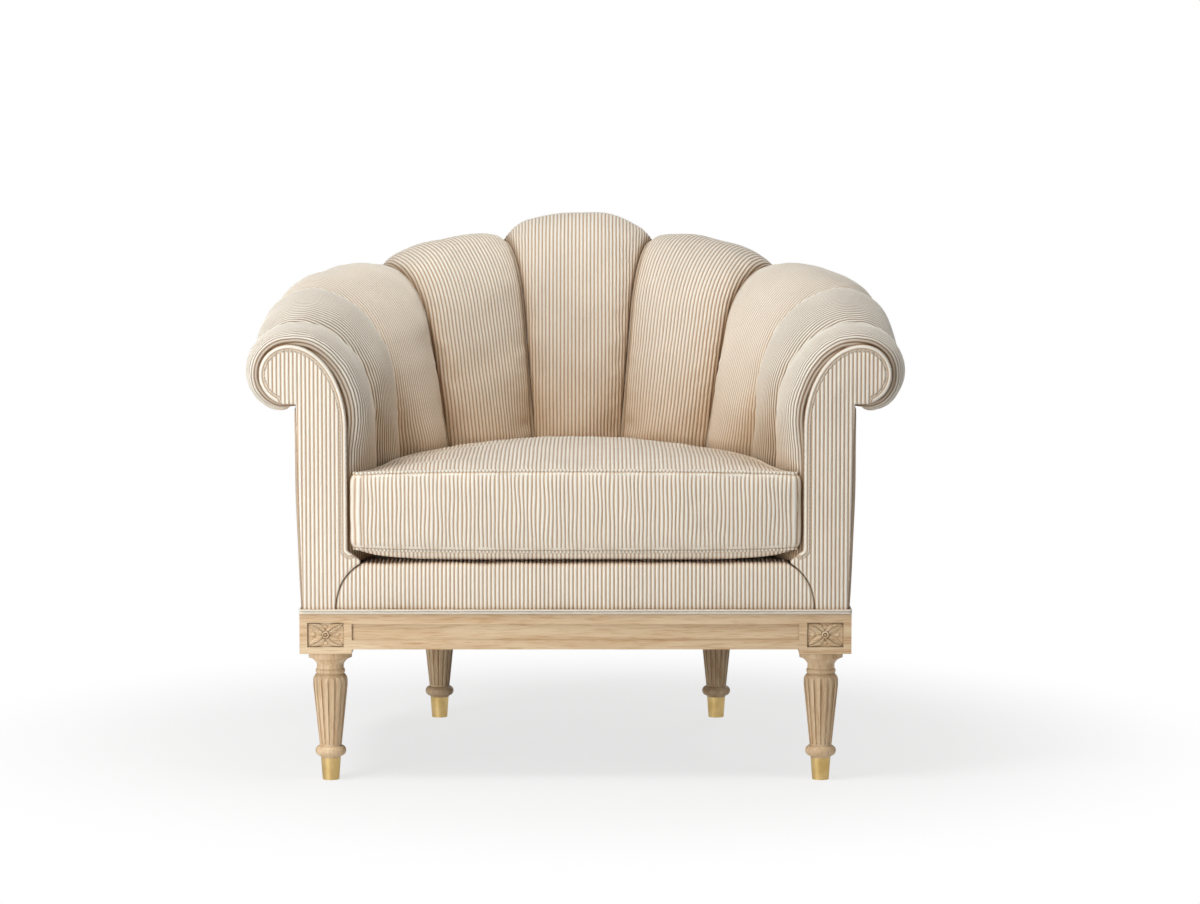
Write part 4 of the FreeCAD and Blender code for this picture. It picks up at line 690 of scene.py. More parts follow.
def round_profile(radius: float, sides: int = 10) -> np.ndarray:
    """Closed circle of offsets."""
    turn = np.linspace(0.0, 2 * math.pi, sides, endpoint=False)
    return np.stack([radius * np.cos(turn), radius * np.sin(turn)], 1)


def wale_height(across: np.ndarray, depth: float = 1.4) -> np.ndarray:
    """Height of the wales: rounded ridges with narrow grooves."""
    return depth * (np.abs(np.cos(np.pi * across / PITCH)) ** 0.7 - 0.6)


def normals_of(grid: np.ndarray, towards: np.ndarray) -> np.ndarray:
    """Unit normals of a grid of points, turned towards given directions."""
    normal = np.cross(np.gradient(grid, axis=0), np.gradient(grid, axis=1))
    normal /= np.linalg.norm(normal, axis=-1, keepdims=True) + 1e-9
    return normal * np.sign((normal * towards).sum(-1, keepdims=True) + 1e-12)


def clamped_columns(grid: np.ndarray, extra: list[np.ndarray], step: float
                    ) -> tuple[np.ndarray, list[np.ndarray]]:
    """Redraw the rows of a grid with columns at fixed distances from the middle one.

    Args:
        grid: rows by an odd number of columns of points.
        extra: other values on the same grid.
        step: distance between the new columns in millimetres.

    Returns:
        The distance of every new point from the middle, held at each row's ends, and the redrawn values,
        the points first.
    """
    middle = grid.shape[1] // 2
    run = np.concatenate([np.zeros((len(grid), 1)),
                          np.cumsum(np.linalg.norm(np.diff(grid, axis=1), axis=2), axis=1)], 1)
    run -= run[:, middle:middle + 1]
    most = int(np.abs(run).max() / step) + 1
    wanted = np.arange(-most, most + 1) * step
    across = np.clip(wanted[None, :], run[:, :1], run[:, -1:])
    redrawn = []
    for values in [grid] + extra:
        flat = values.reshape(len(grid), grid.shape[1], -1)
        rows = [np.stack([np.interp(places, lengths, line[:, axis]) for axis in range(flat.shape[2])], 1)
                for places, lengths, line in zip(across, run, flat)]
        redrawn.append(np.array(rows).reshape((len(grid), len(wanted)) + values.shape[2:]))
    return across, redrawn


# Upholstery


@dataclass
class StuffedChannel:
    """One stuffed channel between two seams, from the deck over the crest to the tack line."""

    number: int
    side: int = 1
    spacing: float = 5.0
    column: float = PITCH / 6
    gap: float = 5.2
    fullness: float = 2.6
    softness: float = 0.62
    front_softness: float = 0.45
    unevenness: float = 1.1
    wale: float = 1.3
    tube_from: tuple[float, float] = (455.0, 540.0)
    flank: tuple[float, ...] = (3.0, 8.0, 15.0, BACK.pad - 1.0)

    def name(self) -> str:
        """Node that the channel stands for."""
        if self.number == 0:
            return "channel_centre"
        return f"channel_{'left' if self.side < 0 else 'right'}_{self.number}"

    def surface(self) -> tuple[np.ndarray, np.ndarray, np.ndarray]:
        """Stations by places across of the channel's face, its outward directions and its back."""
        first = -0.5 if self.number == 0 else self.number - 0.5
        ribs = [Rib(first), Rib(float(self.number)), Rib(self.number + 0.5)]
        lines = [rib.stations(self.spacing) for rib in ribs]
        left, middle, right = (rib.place(line[0]) for rib, line in zip(ribs, lines))
        outward = [rib.heading(line[1]) for rib, line in zip(ribs, lines)]
        face, top, out = BACK.bulges[self.number]
        climb, turn = lines[1][2], lines[1][3]
        swell = face + (top - face) * (np.arcsin(np.clip(climb, 0, 1)) / (math.pi / 2)) ** 3
        rolled = (top + (out - top) * np.sin(turn * math.pi / 2)) * np.sqrt(np.clip(1 - turn**6, 0, None))
        swell = np.where(turn > 0, rolled, swell)[:, None]
        chord = right - left
        chord /= np.linalg.norm(chord, axis=1, keepdims=True)
        left = left + chord * self.gap / 2
        right = right - chord * self.gap / 2
        place = crowded(65)
        rise = smooth_step(middle[:, 2], *self.tube_from)[:, None]
        soft = np.where((self.number == 4) & (place > 0), self.front_softness, self.softness)
        round_tube = (1 - np.abs(place) ** self.fullness) ** soft
        shape = (1 - rise) * (1 - place**2) + rise * round_tube
        bow = middle + outward[1] * swell - (left + right) / 2
        share = (place + 1) / 2
        grid = between(left, right, share) + bow[:, None] * shape[..., None]
        towards = between(outward[0], outward[2], share)
        return grid, normals_of(grid, towards), towards

    def build(self, finishes: Finishes) -> bpy.types.Object:
        """Make the channel's mesh with its wales and hide the part it stands for."""
        grid, normal, towards = self.surface()
        uneven = wander(grid, 70.0, 11 + self.number + 20 * (self.side > 0)) * self.unevenness
        place = np.abs(crowded(65))
        uneven = uneven + wander(grid, 24.0, 7 + self.number) * 0.8 * smooth_step(place, 0.35, 0.9)
        fade = np.minimum(1.0, 8.0 * (1 - place))
        grid = grid + normal * (uneven * fade)[..., None]
        across, (points, normal, towards, place) = clamped_columns(
            grid, [normal, towards, np.broadcast_to(place, grid.shape[:2]).copy()], self.column)
        points = points + normal * wale_height(across, self.wale)[..., None]
        mirror = np.array([self.side, 1, 1])
        piece = Piece()
        # painted shade: darker towards both seams and darkest on the flanks that go down into them
        edge = smooth_step(place, 0.93, 1.0)
        depths = np.array(self.flank)[None, :, None]
        near = points[:, :1] - towards[:, :1] * depths[:, ::-1]
        far = points[:, -1:] - towards[:, -1:] * depths
        rows = np.concatenate([near, points, far], 1)
        sides = ((0, 0), (len(self.flank), len(self.flank)))
        whole = np.pad(across, sides, "edge")
        painted_shade = np.pad(edge * 0.55, sides, constant_values=0.9)
        piece.grid(rows * mirror, whole, painted_shade, loop_columns=True, ends=True)
        # the arm channels take the corduroy with painted groove shade
        finish = "corduroy_groove_shade" if self.number > 2 else "cotton_corduroy"
        made = piece.build("stuffed_" + self.name(), finishes[finish])
        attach(made, "chair")
        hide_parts(self.name())
        return made


@dataclass
class FilledForm:
    """Plain closed form of a soft piece, simulated as cloth that is filled between its held seams."""

    voxel_mm: float = 8.0
    pressure: float = 3.0
    frames: int = 20
    held_mm: float = 16.0
    limit_mm: float = 7.0
    tree: KDTree | None = None

    def settle(self, plain: Piece, held: np.ndarray, material: bpy.types.Material) -> None:
        """Simulate the form and keep how far its points move.

        Args:
            plain: the form without wales.
            held: points of its seams, in millimetres.
            material: finish of the mesh while it exists.
        """
        made = plain.build("filling", material)
        remesh = made.modifiers.new("even", "REMESH")
        remesh.mode = "VOXEL"
        remesh.voxel_size = self.voxel_mm * MM
        rest = bpy.data.meshes.new_from_object(made.evaluated_get(bpy.context.evaluated_depsgraph_get()))
        made.modifiers.clear()
        old, made.data = made.data, rest
        bpy.data.meshes.remove(old)
        before = self.points_of(rest)
        self.hold(made, before, held)
        self.fill(made)
        scene = bpy.context.scene
        for number in range(1, self.frames + 1):
            scene.frame_set(number)
        settled = made.evaluated_get(bpy.context.evaluated_depsgraph_get()).to_mesh()
        shift = (self.points_of(settled) - before) / MM
        far = np.linalg.norm(shift, axis=1, keepdims=True)
        self.shift = shift * np.minimum(1.0, self.limit_mm / np.maximum(far, 1e-6))
        log.info("filling: %d points, moved %.1f mm at most", len(before), far.max())
        self.tree = KDTree(len(before))
        for number, spot in enumerate(before):
            self.tree.insert(spot, number)
        self.tree.balance()
        bpy.data.objects.remove(made)
        bpy.data.meshes.remove(rest)
        scene.frame_set(1)

    @staticmethod
    def points_of(mesh: bpy.types.Mesh) -> np.ndarray:
        """Points of a mesh, in metres."""
        flat = np.empty(len(mesh.vertices) * 3)
        mesh.vertices.foreach_get("co", flat)
        return flat.reshape(-1, 3)

    def hold(self, made: bpy.types.Object, points: np.ndarray, held: np.ndarray) -> None:
        """Pin the points near the seams."""
        seams = KDTree(len(held))
        for number, spot in enumerate(to_frame(held)):
            seams.insert(spot, number)
        seams.balance()
        group = made.vertex_groups.new(name="held")
        for number, spot in enumerate(points):
            away = seams.find(spot)[2] / MM
            if away < self.held_mm:
                group.add([number], 1.0 - float(smooth_step(away, self.held_mm / 2, self.held_mm)), "REPLACE")

    def fill(self, made: bpy.types.Object) -> None:
        """Make the form a tight cotton cloth with filling that presses on it."""
        cloth = made.modifiers.new("cloth", "CLOTH")
        cloth.settings.quality = 5
        cloth.settings.use_pressure = True
        cloth.settings.uniform_pressure_force = self.pressure
        cloth.settings.effector_weights.gravity = 0.0
        cloth.settings.vertex_group_mass = "held"
        cloth.point_cache.frame_start = 1
        cloth.point_cache.frame_end = self.frames

    def moved(self, points: np.ndarray) -> np.ndarray:
        """How far the cloth moved at given places, both in millimetres."""
        if self.tree is None:
            return np.zeros(points.shape)
        flat = to_frame(points.reshape(-1, 3))
        moves = np.empty(flat.shape)
        for index, spot in enumerate(flat):
            near = self.tree.find_n(spot, 4)
            weights = np.array([1.0 / (away + 1e-4) for _, _, away in near])
            moves[index] = weights @ self.shift[[number for _, number, _ in near]] / weights.sum()
        return moves.reshape(points.shape)


@dataclass
class Cushion:
    """Loose box cushion: crowned panels, border and double-stitched seams."""

    front_half: float = 315.5
    knots: tuple[tuple[float, float], ...] = (
        (0.0, 315.5), (20.0, 298.0), (72.0, 282.6), (225.0, 256.0), (360.0, 203.0))
    rear_radius: float = 201.0
    rear: float = 490.0
    seam_high: float = 441.0
    seam_low: float = 335.5
    crown: float = 18.5
    unfilled: float = 6.0
    belly: float = 20.2
    crowns: tuple[tuple[float, float], ...] = (
        (0.0, 0.06), (12.0, 0.3), (34.0, 0.58), (80.0, 0.8), (225.0, 1.0), (360.0, 0.85), (490.0, 0.09))
    bellies: tuple[tuple[float, float], ...] = (
        (0.0, 0.0), (3.0, 0.42), (8.0, 0.76), (16.0, 0.91), (34.0, 0.96), (80.0, 0.97), (225.0, 1.0),
        (360.0, 0.85), (490.0, 0.09))
    front_drop: float = 4.0
    front_bulge: float = 7.0
    side_bulge: float = 3.0
    zip_clear: float = 1.2
    zip_level: float = 388.25
    seam_cord: float = 2.2
    pucker_mm: float = 5.2
    cords: tuple[tuple[float, float], ...] = ((-0.4, 0.7), (4.6, 1.3))
    front_points: int = 160
    zip_end: float = 36.0
    square: float = 2.6
    shoulder: float = 0.7

    def outline(self) -> np.ndarray:
        """Closed seam line seen from above, from the front left corner along the front and round the back."""
        centre = self.rear - self.rear_radius
        corner = math.radians(48)
        knots = list(self.knots) + [(centre + self.rear_radius * math.cos(corner),
                                     self.rear_radius * math.sin(corner))]
        depths = np.array([knot[0] for knot in knots])
        halves = np.array([knot[1] for knot in knots])
        slopes = np.diff(halves) / np.diff(depths)
        turned = np.concatenate([[slopes[0]], (slopes[1:] + slopes[:-1]) / 2, [slopes[-1]]])
        side = []
        for depth in np.arange(9.0, depths[-1], 3.0):
            index = min(int(np.searchsorted(depths, depth) - 1), len(slopes) - 1)
            span = depths[index + 1] - depths[index]
            part = (depth - depths[index]) / span
            value = halves[index] * (1 - part) ** 2 * (1 + 2 * part)
            value += halves[index + 1] * part**2 * (3 - 2 * part)
            value += span * part * (1 - part) * (turned[index] * (1 - part) - turned[index + 1] * part)
            side.append((value, depth))
        round_corner = [(self.front_half - 11 + 9 * math.sin(turn), 8 - 8 * math.cos(turn))
                        for turn in np.radians(np.linspace(0, 80, 9))]
        back = [(self.rear_radius * math.sin(turn), centre + self.rear_radius * math.cos(turn))
                for turn in np.linspace(corner, 0.0, 60)]
        right = np.array(round_corner + side + back)
        across = np.linspace(-right[0, 0], right[0, 0], self.front_points)[1:-1]
        front = np.stack([across, 0 * across], 1)
        return np.concatenate([front, right, (right * MIRROR)[::-1][1:]])

    def half_at(self, depth: np.ndarray) -> np.ndarray:
        """Half width of the seam line at a depth."""
        line = self.outline()
        first = self.front_points - 2
        right = line[first:(len(line) + first + 1) // 2]
        return np.interp(depth, right[:, 1], right[:, 0])

    def form(self, upper: bool, step: float) -> tuple[np.ndarray, np.ndarray, np.ndarray, np.ndarray]:
        """Smooth top or bottom panel.

        Args:
            upper: whether it is the top panel.
            step: distance between columns in millimetres.

        Returns:
            Points, the distance of each column from the middle, its share of the half width and the swell.
        """
        depths = np.concatenate([np.linspace(0.0, 12.0, 7), np.linspace(16.0, 478.0, 78 if upper else 40),
                                 self.rear - 12.0 * (1 - np.linspace(0.2, 1.0, 6)) ** 2])
        half = self.half_at(depths)
        wide = np.arange(-int(self.front_half / step) - 1, int(self.front_half / step) + 2) * step
        across = np.clip(wide[None], -half[:, None], half[:, None])
        share = np.abs(across) / np.maximum(half[:, None], 1.0)
        depth = np.broadcast_to(depths[:, None], across.shape)
        crown = (1 - share**self.square) ** self.shoulder
        if upper:
            swell = np.sqrt(np.interp(depths, *zip(*self.crowns)))[:, None] * crown
            return np.stack([across, depth, self.seam_high + self.crown * swell], -1), across, share, swell
        square = self.square + 7.4 * (1 - smooth_step(depth, 20.0, 120.0))
        swell = np.interp(depths, *zip(*self.bellies))[:, None] * (1 - share**square) ** self.shoulder
        level = self.seam_low - self.front_drop * crown - (self.belly - self.front_drop) * swell
        depth = depth - 3.5 * np.sin(math.pi * np.clip(depth / 18.0, 0, 1)) * (1 - share**square)
        return np.stack([across, depth, level], -1), across, share, swell

    def panel(self, upper: bool, step: float, filled: FilledForm) -> tuple[np.ndarray, np.ndarray]:
        """Points of the top or bottom panel with wales from front to back, and the distance over them."""
        points, across, share, swell = self.form(upper, step)
        spread = np.linspace(-1e-2, 1e-2, across.shape[1])[None, :, None] * np.array([1.0, 0.0, 0.0])
        normal = normals_of(points + spread, UP if upper else -UP)
        uneven = wander(points, 110.0, 3) * 1.6 + wander(points, 38.0, 5) * 0.7
        uneven = uneven * smooth_step(swell, 0.05, 0.5) if upper else 0 * share
        relief = wale_height(across, 1.3 if upper else 0.8) * smooth_step(1 - share, 0.0, 0.01)
        if filled.tree is None and upper:
            points = points + UP * self.unfilled * swell[..., None]
        return points + filled.moved(points) + normal * (uneven + relief)[..., None], across

    def border(self, step: float) -> tuple[np.ndarray, np.ndarray, np.ndarray, np.ndarray, np.ndarray]:
        """Smooth border between the two seams.

        Args:
            step: distance between columns in millimetres.

        Returns:
            Points, the distance of each column along the seam, the outward directions, how far each column
            stands at the front, and the place of each row from -1 at the bottom seam to 1 at the top.
        """
        line = self.outline()
        closed = np.concatenate([line, line[:1]])
        run = run_of(closed)
        ahead = np.roll(line, -1, 0) - np.roll(line, 1, 0)
        out = np.stack([ahead[:, 1], -ahead[:, 0]], 1)
        out /= np.linalg.norm(out, axis=1, keepdims=True)
        columns = np.arange(0.0, run[-1], step)
        along = along_path(columns, run, closed)
        outward = along_path(columns, run, np.concatenate([out, out[:1]]))
        outward = np.concatenate([outward, np.zeros((len(columns), 1))], 1)
        front = smooth_step(-along[:, 1], -30.0, -4.0)
        share = np.clip(np.abs(along[:, 0]) / self.half_at(along[:, 1]), 0, 1)
        crown = (1 - share**self.square) ** self.shoulder
        drop = np.interp(along[:, 1], *zip(*self.bellies)) * (self.belly - self.front_drop) + self.front_drop
        bottom = self.seam_low - drop * crown
        top = self.seam_high + self.crown * np.sqrt(np.interp(along[:, 1], *zip(*self.crowns))) * crown
        place = crowded(19)
        levels = bottom[None] * (1 - place[:, None]) / 2 + top[None] * (1 + place[:, None]) / 2
        sides = (1 - np.abs(place) ** 2.4)[:, None] * self.side_bulge
        bulge = sides * (1 - front) + (1 - np.abs(place) ** 14)[:, None] * self.front_bulge * front
        flat = np.concatenate([np.broadcast_to(along, levels.shape + (2,)), levels[..., None]], -1)
        # the wales of the front border stand in line with those of the top panel
        return flat + outward * bulge[..., None], columns + closed[0, 0], outward, front, place

    def flattened(self, spots: np.ndarray) -> np.ndarray:
        """Hold the border's cloth flat behind the zip, where the tape is sewn on."""
        centre = np.array([0.0, self.rear - self.rear_radius])
        away = spots[..., :2] - centre
        radius = np.linalg.norm(away, axis=-1)
        turn = np.degrees(np.abs(np.arctan2(away[..., 0], away[..., 1])))
        limit = self.rear_radius + self.zip_clear + 12.0 * (
            smooth_step(turn, 29.0, self.zip_end)
            + smooth_step(np.abs(spots[..., 2] - self.zip_level), 12.0, 24.0))
        held = np.where(turn < self.zip_end, np.minimum(radius, limit), radius)
        held = centre + away * (held / radius)[..., None]
        return np.concatenate([held, spots[..., 2:]], -1)

    def cover(self, finishes: Finishes) -> None:
        """Make the cushion's cover: both panels and the border."""
        plain = Piece()
        for upper in (True, False):
            plain.grid(self.form(upper, 2 * PITCH)[0])
        walls = self.border(2 * PITCH)[0]
        plain.grid(walls, loop_columns=True)
        filled = FilledForm()
        filled.settle(plain, np.concatenate([walls[0], walls[-1]]), finishes["cotton_corduroy"])
        piece = Piece()
        for upper, step in ((True, PITCH / 6), (False, PITCH / 4)):
            piece.grid(*self.panel(upper, step, filled))
        spots, across, outward, _, place = self.border(PITCH / 6)
        inside = 1 - np.abs(place[:, None]) ** 6
        push = wale_height(across)[None] * (1 - np.abs(place[:, None]) ** 8)
        push = push + wander(spots, 60.0, 9) * 0.9 * inside
        lean = wander(spots * np.array([1.0, 1.0, 0.45]), 34.0, 12) * 1.1 * inside
        beside = np.stack([-outward[:, 1], outward[:, 0], outward[:, 2]], 1)
        spots = spots + filled.moved(spots) + outward * push[..., None] + beside * lean[..., None]
        piece.grid(self.flattened(spots), across, loop_columns=True)
        cover = piece.build("seat_cushion", finishes["cotton_corduroy"])
        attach(cover, "cushion")
        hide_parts("cushion_cover")
        log.info("seat_cushion: %d points", len(cover.data.vertices))

    def seams(self, finishes: Finishes) -> None:
        """Lay the two puckered cords of each seam of the cover."""
        piece = Piece()
        spots, columns, outward, front, _ = self.border(PITCH / 6)
        wave = np.cos(2 * math.pi * columns / self.pucker_mm)
        beads = self.seam_cord * (1 + 0.22 * wave)
        # painted shade in the pinched dips between the puckers
        pucker_shade = 0.65 * (0.5 - 0.5 * wave) ** 1.5
        rings = round_profile(1.0, 8)
        turned = outward[:, None] * rings[None, :, :1] + UP * rings[None, :, 1:]
        for edge, lean in ((spots[-1], 1.0), (spots[0], -1.0)):
            for drop, out in self.cords:
                push = out + (1.1 if drop > 1 else 0.0) * front
                line = edge + outward * push[:, None] - UP * lean * drop
                cord = line[:, None] + beads[:, None, None] * turned
                piece.grid(cord, crease_shade=pucker_shade[:, None], loop_columns=True, loop_rows=True)
        made = piece.build("cushion_seams", finishes["corduroy_piping"])
        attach(made, "cushion")


@dataclass
class ChannelPiping:
    """Narrow covered cords sewn between the channels."""

    radius: float = 2.3
    sink: float = 1.6

    def build(self, finishes: Finishes) -> None:
        """Lay a cord in every seam of the back."""
        piece = Piece()
        for place in np.arange(-3.5, 4.0):
            rib = Rib(place)
            spots, normals, _, _ = rib.stations(5.0)
            sunk = spots[:-1] - normals[:-1] * self.sink
            # each cord carries an even painted shade, as it lies sunk between two channels
            sweep(piece, rib.place(sunk), rib.heading(normals[:-1]), round_profile(self.radius), slant=2.0,
                  crease_shade=0.25)
        made = piece.build("channel_piping", finishes["corduroy_piping"])
        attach(made, "chair")


def border_half(heights: np.ndarray) -> np.ndarray:
    """Half width of the seat's front border, where it meets the arm facings."""
    return np.interp(heights, (242.0, 256.0, 266.0, 276.0, 287.0, 297.0, 305.0, 310.0, 315.0),
                     (339.0, 338.2, 336.7, 334.0, 329.4, 322.9, 315.4, 309.6, 302.0))


@dataclass
class ArmFacing:
    """Scroll-shaped panel on an arm's front, with a sewn border and upright wales."""

    side: int
    inset: float = 1.6
    thick: float = 5.0
    stitch: float = 8.7
    seam: float = 1.0
    foot: float = 242.3
    deck_edge: float = 314.5
    sewn_above: float = 330.0
    step: float = PITCH / 6

    def outline(self) -> np.ndarray:
        """Closed outline of the right facing, across and height."""
        rib = Rib(4.5)
        spots, normals, _, turns = rib.stations(3.0)
        start = rib.crest - rib.rise
        keep = (spots[:, 1] >= start) | (turns > 0)
        curve = (spots - self.inset * normals)[keep][:-1]
        low = rib.crest - 2 * BACK.roll
        foot = self.foot + self.inset
        outer = rib.base_reach() - 3.0 - self.inset
        root = rib.root[0]
        levels = np.linspace(foot, self.deck_edge, 24)
        corners = [(half + self.seam, level) for half, level in zip(border_half(levels), levels)]
        corners += [(corners[-1][0], self.deck_edge + 3.5), (root + self.inset, self.deck_edge + 18.5)]
        heel = [(root + rib.reach - BACK.notch - self.inset, low + self.inset), (root + outer, foot)]
        line = np.array(corners + [(root + out, height) for out, height in curve] + heel + corners[:1])
        run = run_of(line)
        return along_path(np.arange(0.0, run[-1], 1.5), run, line)

    def build(self, finishes: Finishes) -> None:
        """Make the facing as a shallow relief over its outline."""
        line = self.outline()
        closed = np.concatenate([line, line[:1]])
        first, last = math.ceil(line[:, 0].min() / self.step), math.floor(line[:, 0].max() / self.step)
        columns = []
        for across in np.arange(first, last + 1) * self.step:
            before, after = closed[:-1], closed[1:]
            crossed = (before[:, 0] - across) * (after[:, 0] - across) <= 0
            share = (across - before[crossed, 0]) / (after[crossed, 0] - before[crossed, 0] + 1e-9)
            heights = before[crossed, 1] + share * (after[crossed, 1] - before[crossed, 1])
            columns.append((across, heights.min(), heights.max()))
        columns = np.array(columns)
        levels = np.arange(242.0, 628.0, 1.8)
        height = np.clip(levels[:, None], columns[None, :, 1], columns[None, :, 2])
        across = np.broadcast_to(columns[None, :, 0], height.shape)
        flat = np.stack([across, height], -1)
        outer = (line[:, 0] > 383.0) & (line[:, 1] < BACK.crest[4] - 2 * BACK.roll + 6.0)
        sewn = distance_to(flat, line[~outer & (line[:, 1] > self.sewn_above)])
        edge = (height <= columns[None, :, 1] + 1e-6) | (height >= columns[None, :, 2] - 1e-6)
        gap = np.where(edge, 0.0, distance_to(flat, line))
        turned = np.sqrt(1 - (1 - np.clip(gap / 3.0, 0, 1)) ** 2)
        ragged = self.stitch + 0.6 * np.cos(2 * math.pi * across / PITCH)
        groove = np.exp(-((sewn - ragged) / 1.0) ** 2)
        out = 0.3 + (self.thick - 1.0) * turned - 1.1 * groove + 1.2 * smooth_step(gap, self.stitch, 50.0)
        pattern = np.where(sewn < self.stitch, sewn + 0.5 * PITCH, across)
        out += wale_height(pattern) * smooth_step(gap, 0.5, 3.0) * (1 - 0.8 * groove)
        front = np.stack([across * self.side, -out, height], -1)
        back = np.stack([across * self.side, np.full(height.shape, -0.3), height], -1)
        piece = Piece()
        # painted shade in the sewn groove, in diagonal dashes along it, and an even painted shade on the
        # hidden back
        dashes = 0.5 + 0.5 * np.cos(2 * math.pi * (across + height) / PITCH)
        piece.grid(front, pattern, groove * (0.3 + 0.6 * dashes))
        piece.grid(back[::4], across[::4], 0.3)
        side = "left" if self.side < 0 else "right"
        made = piece.build(f"facing_panel_{side}", finishes["cotton_corduroy"])
        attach(made, "chair")
        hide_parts(f"arm_facing_{side}")


def stretched(edge: np.ndarray, depths: np.ndarray, columns: int, level: float, wave: float, seed: int,
              dip: float = 0.0) -> tuple[np.ndarray, np.ndarray]:
    """Level cloth, stretched from side to side and slightly uneven.

    Args:
        edge: points of its right edge, across and depth, in the order of their depths.
        depths: depths of its rows.
        columns: number of points in a row.
        level: its height.
        wave: length of its unevenness.
        seed: seed of its unevenness.
        dip: how far it sags, as a share of the unevenness.

    Returns:
        Its points and the half width of each row.
    """
    half = np.interp(depths, edge[:, 1], edge[:, 0])
    across = half[:, None] * np.linspace(-1, 1, columns)[None]
    depth = np.broadcast_to(depths[:, None], across.shape)
    points = np.stack([across, depth, np.full(across.shape, level)], -1)
    points[..., 2] += 0.4 * (wander(points, wave, seed) - dip)
    return points, half


@dataclass
class SeatDeck:
    """Upholstered front border of the seat and the plain deck behind it."""

    wide: float = 339.0
    fold: float = 9.0
    top: float = 315.0
    back: float = 60.0
    foot: float = 242.4
    under: float = 299.6
    step: float = PITCH / 6

    def border(self, finishes: Finishes) -> None:
        """Make the front border with upright wales that turn over the deck's edge."""
        start = self.top - self.fold
        edge = [(-3.0 + self.fold * (1 - math.cos(turn)), start + self.fold * math.sin(turn))
                for turn in np.radians(np.linspace(0, 90, 9))]
        face = [(-3.2 - 1.9 * math.sin(math.pi * share), self.foot + share * (start - self.foot))
                for share in np.linspace(0, 1, 17)]
        flat = [(depth, self.top) for depth in (12.0, 28.0, 36.0, 44.0, 52.0, 59.9)]
        shown = np.array(face + edge[1:] + flat)
        hidden = np.array([(59.9, self.under), (4.6, self.under), (4.6, self.foot)])
        profile = np.concatenate([shown, hidden])
        half = border_half(profile[:, 1])
        wide = np.arange(-int(self.wide / self.step) - 1, int(self.wide / self.step) + 2) * self.step
        across = np.clip(wide[None], -half[:, None], half[:, None])
        points = np.stack([across, np.broadcast_to(profile[:, :1], across.shape),
                           np.broadcast_to(profile[:, 1:], across.shape)], -1)
        ahead = np.gradient(shown, axis=0)
        normal = np.stack([-ahead[:, 1], ahead[:, 0]], 1) / np.linalg.norm(ahead, axis=1, keepdims=True)
        rows = len(shown)
        inner = smooth_step(half[:rows, None] - np.abs(across[:rows]), 0.0, 3.0)
        push = wale_height(across[:rows]) * inner + wander(points[:rows], 55.0, 21) * 0.7 * inner
        push = push - 1.2 * (1 - inner) - 0.8
        points[:rows, :, 1] += normal[:, :1] * push
        points[:rows, :, 2] += normal[:, 1:] * push
        # painted shade where the border meets the arm facings
        painted_shade = np.zeros(across.shape)
        painted_shade[:rows] = 0.55 * (1 - smooth_step(half[:rows, None] - np.abs(across[:rows]), 0.0, 2.5))
        piece = Piece()
        piece.grid(points, across, painted_shade, loop_rows=True, ends=True)
        made = piece.build("seat_border", finishes["cotton_corduroy"])
        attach(made, "chair")
        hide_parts("deck_front")

    def deck(self, finishes: Finishes) -> None:
        """Lay the decking cloth between the channels, stretched over its pad."""
        ribs = [Rib(place) for place in np.linspace(-4.5, 4.5, 91)]
        edge = np.array([(rib.root + rib.away * 19.5)[:2] for rib in ribs])
        right = edge[45:][::-1]
        depths = np.linspace(self.back + 0.5, right[:, 1].max() - 0.5, 60)
        points, half = stretched(right, depths, 61, self.top - 0.5, wave=90.0, seed=31)
        piece = Piece()
        piece.grid(points, points[..., 0])
        made = piece.build("deck_sheet", finishes["decking_cotton"])
        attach(made, "chair")
        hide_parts("deck_cloth")


@dataclass
class OutsidePanel:
    """Plain panel between the show-wood and the underside of the roll."""

    node: str
    first: float
    last: float
    side: int = 1
    thick: float = 4.6
    bulge: float = 2.5

    def build(self, finishes: Finishes) -> None:
        """Make the panel from the ribs' straight outer lines."""
        count = int(abs(self.last - self.first) * 40) + 1
        rows = np.linspace(0.0, 1.0, 25)
        outer, inner = [], []
        for place in np.linspace(self.first, self.last, count):
            rib = Rib(float(place))
            low = np.array([rib.base_reach() - 3.0, 242.5])
            high = np.array([rib.reach - BACK.notch, rib.crest - 2 * BACK.roll - 5.0])
            line = between(low, high, rows)
            swell = np.stack([self.bulge * np.sin(math.pi * rows) ** 0.7, 0 * rows], 1)
            outer.append(rib.place(line + swell))
            inner.append(rib.place(line - np.array([self.thick, 0.0])))
        outer, inner = np.array(outer).swapaxes(0, 1), np.array(inner).swapaxes(0, 1)
        run = run_of(outer[len(rows) // 2])
        outer = outer + normals_of(outer, outer - inner) * (wander(outer, 80.0, 41) * 0.5)[..., None]
        points = np.concatenate([outer, inner[::-1]]) * np.array([self.side, 1, 1])
        piece = Piece()
        # painted shade near both ends of the panel
        near_end = 1 - smooth_step(np.minimum(run, run[-1] - run), 0.0, 6.0)
        piece.grid(points, run, 0.4 * near_end, loop_rows=True, ends=True)
        made = piece.build(f"panel_{self.node}", finishes["corduroy_flat"])
        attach(made, "chair")
        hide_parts(self.node)


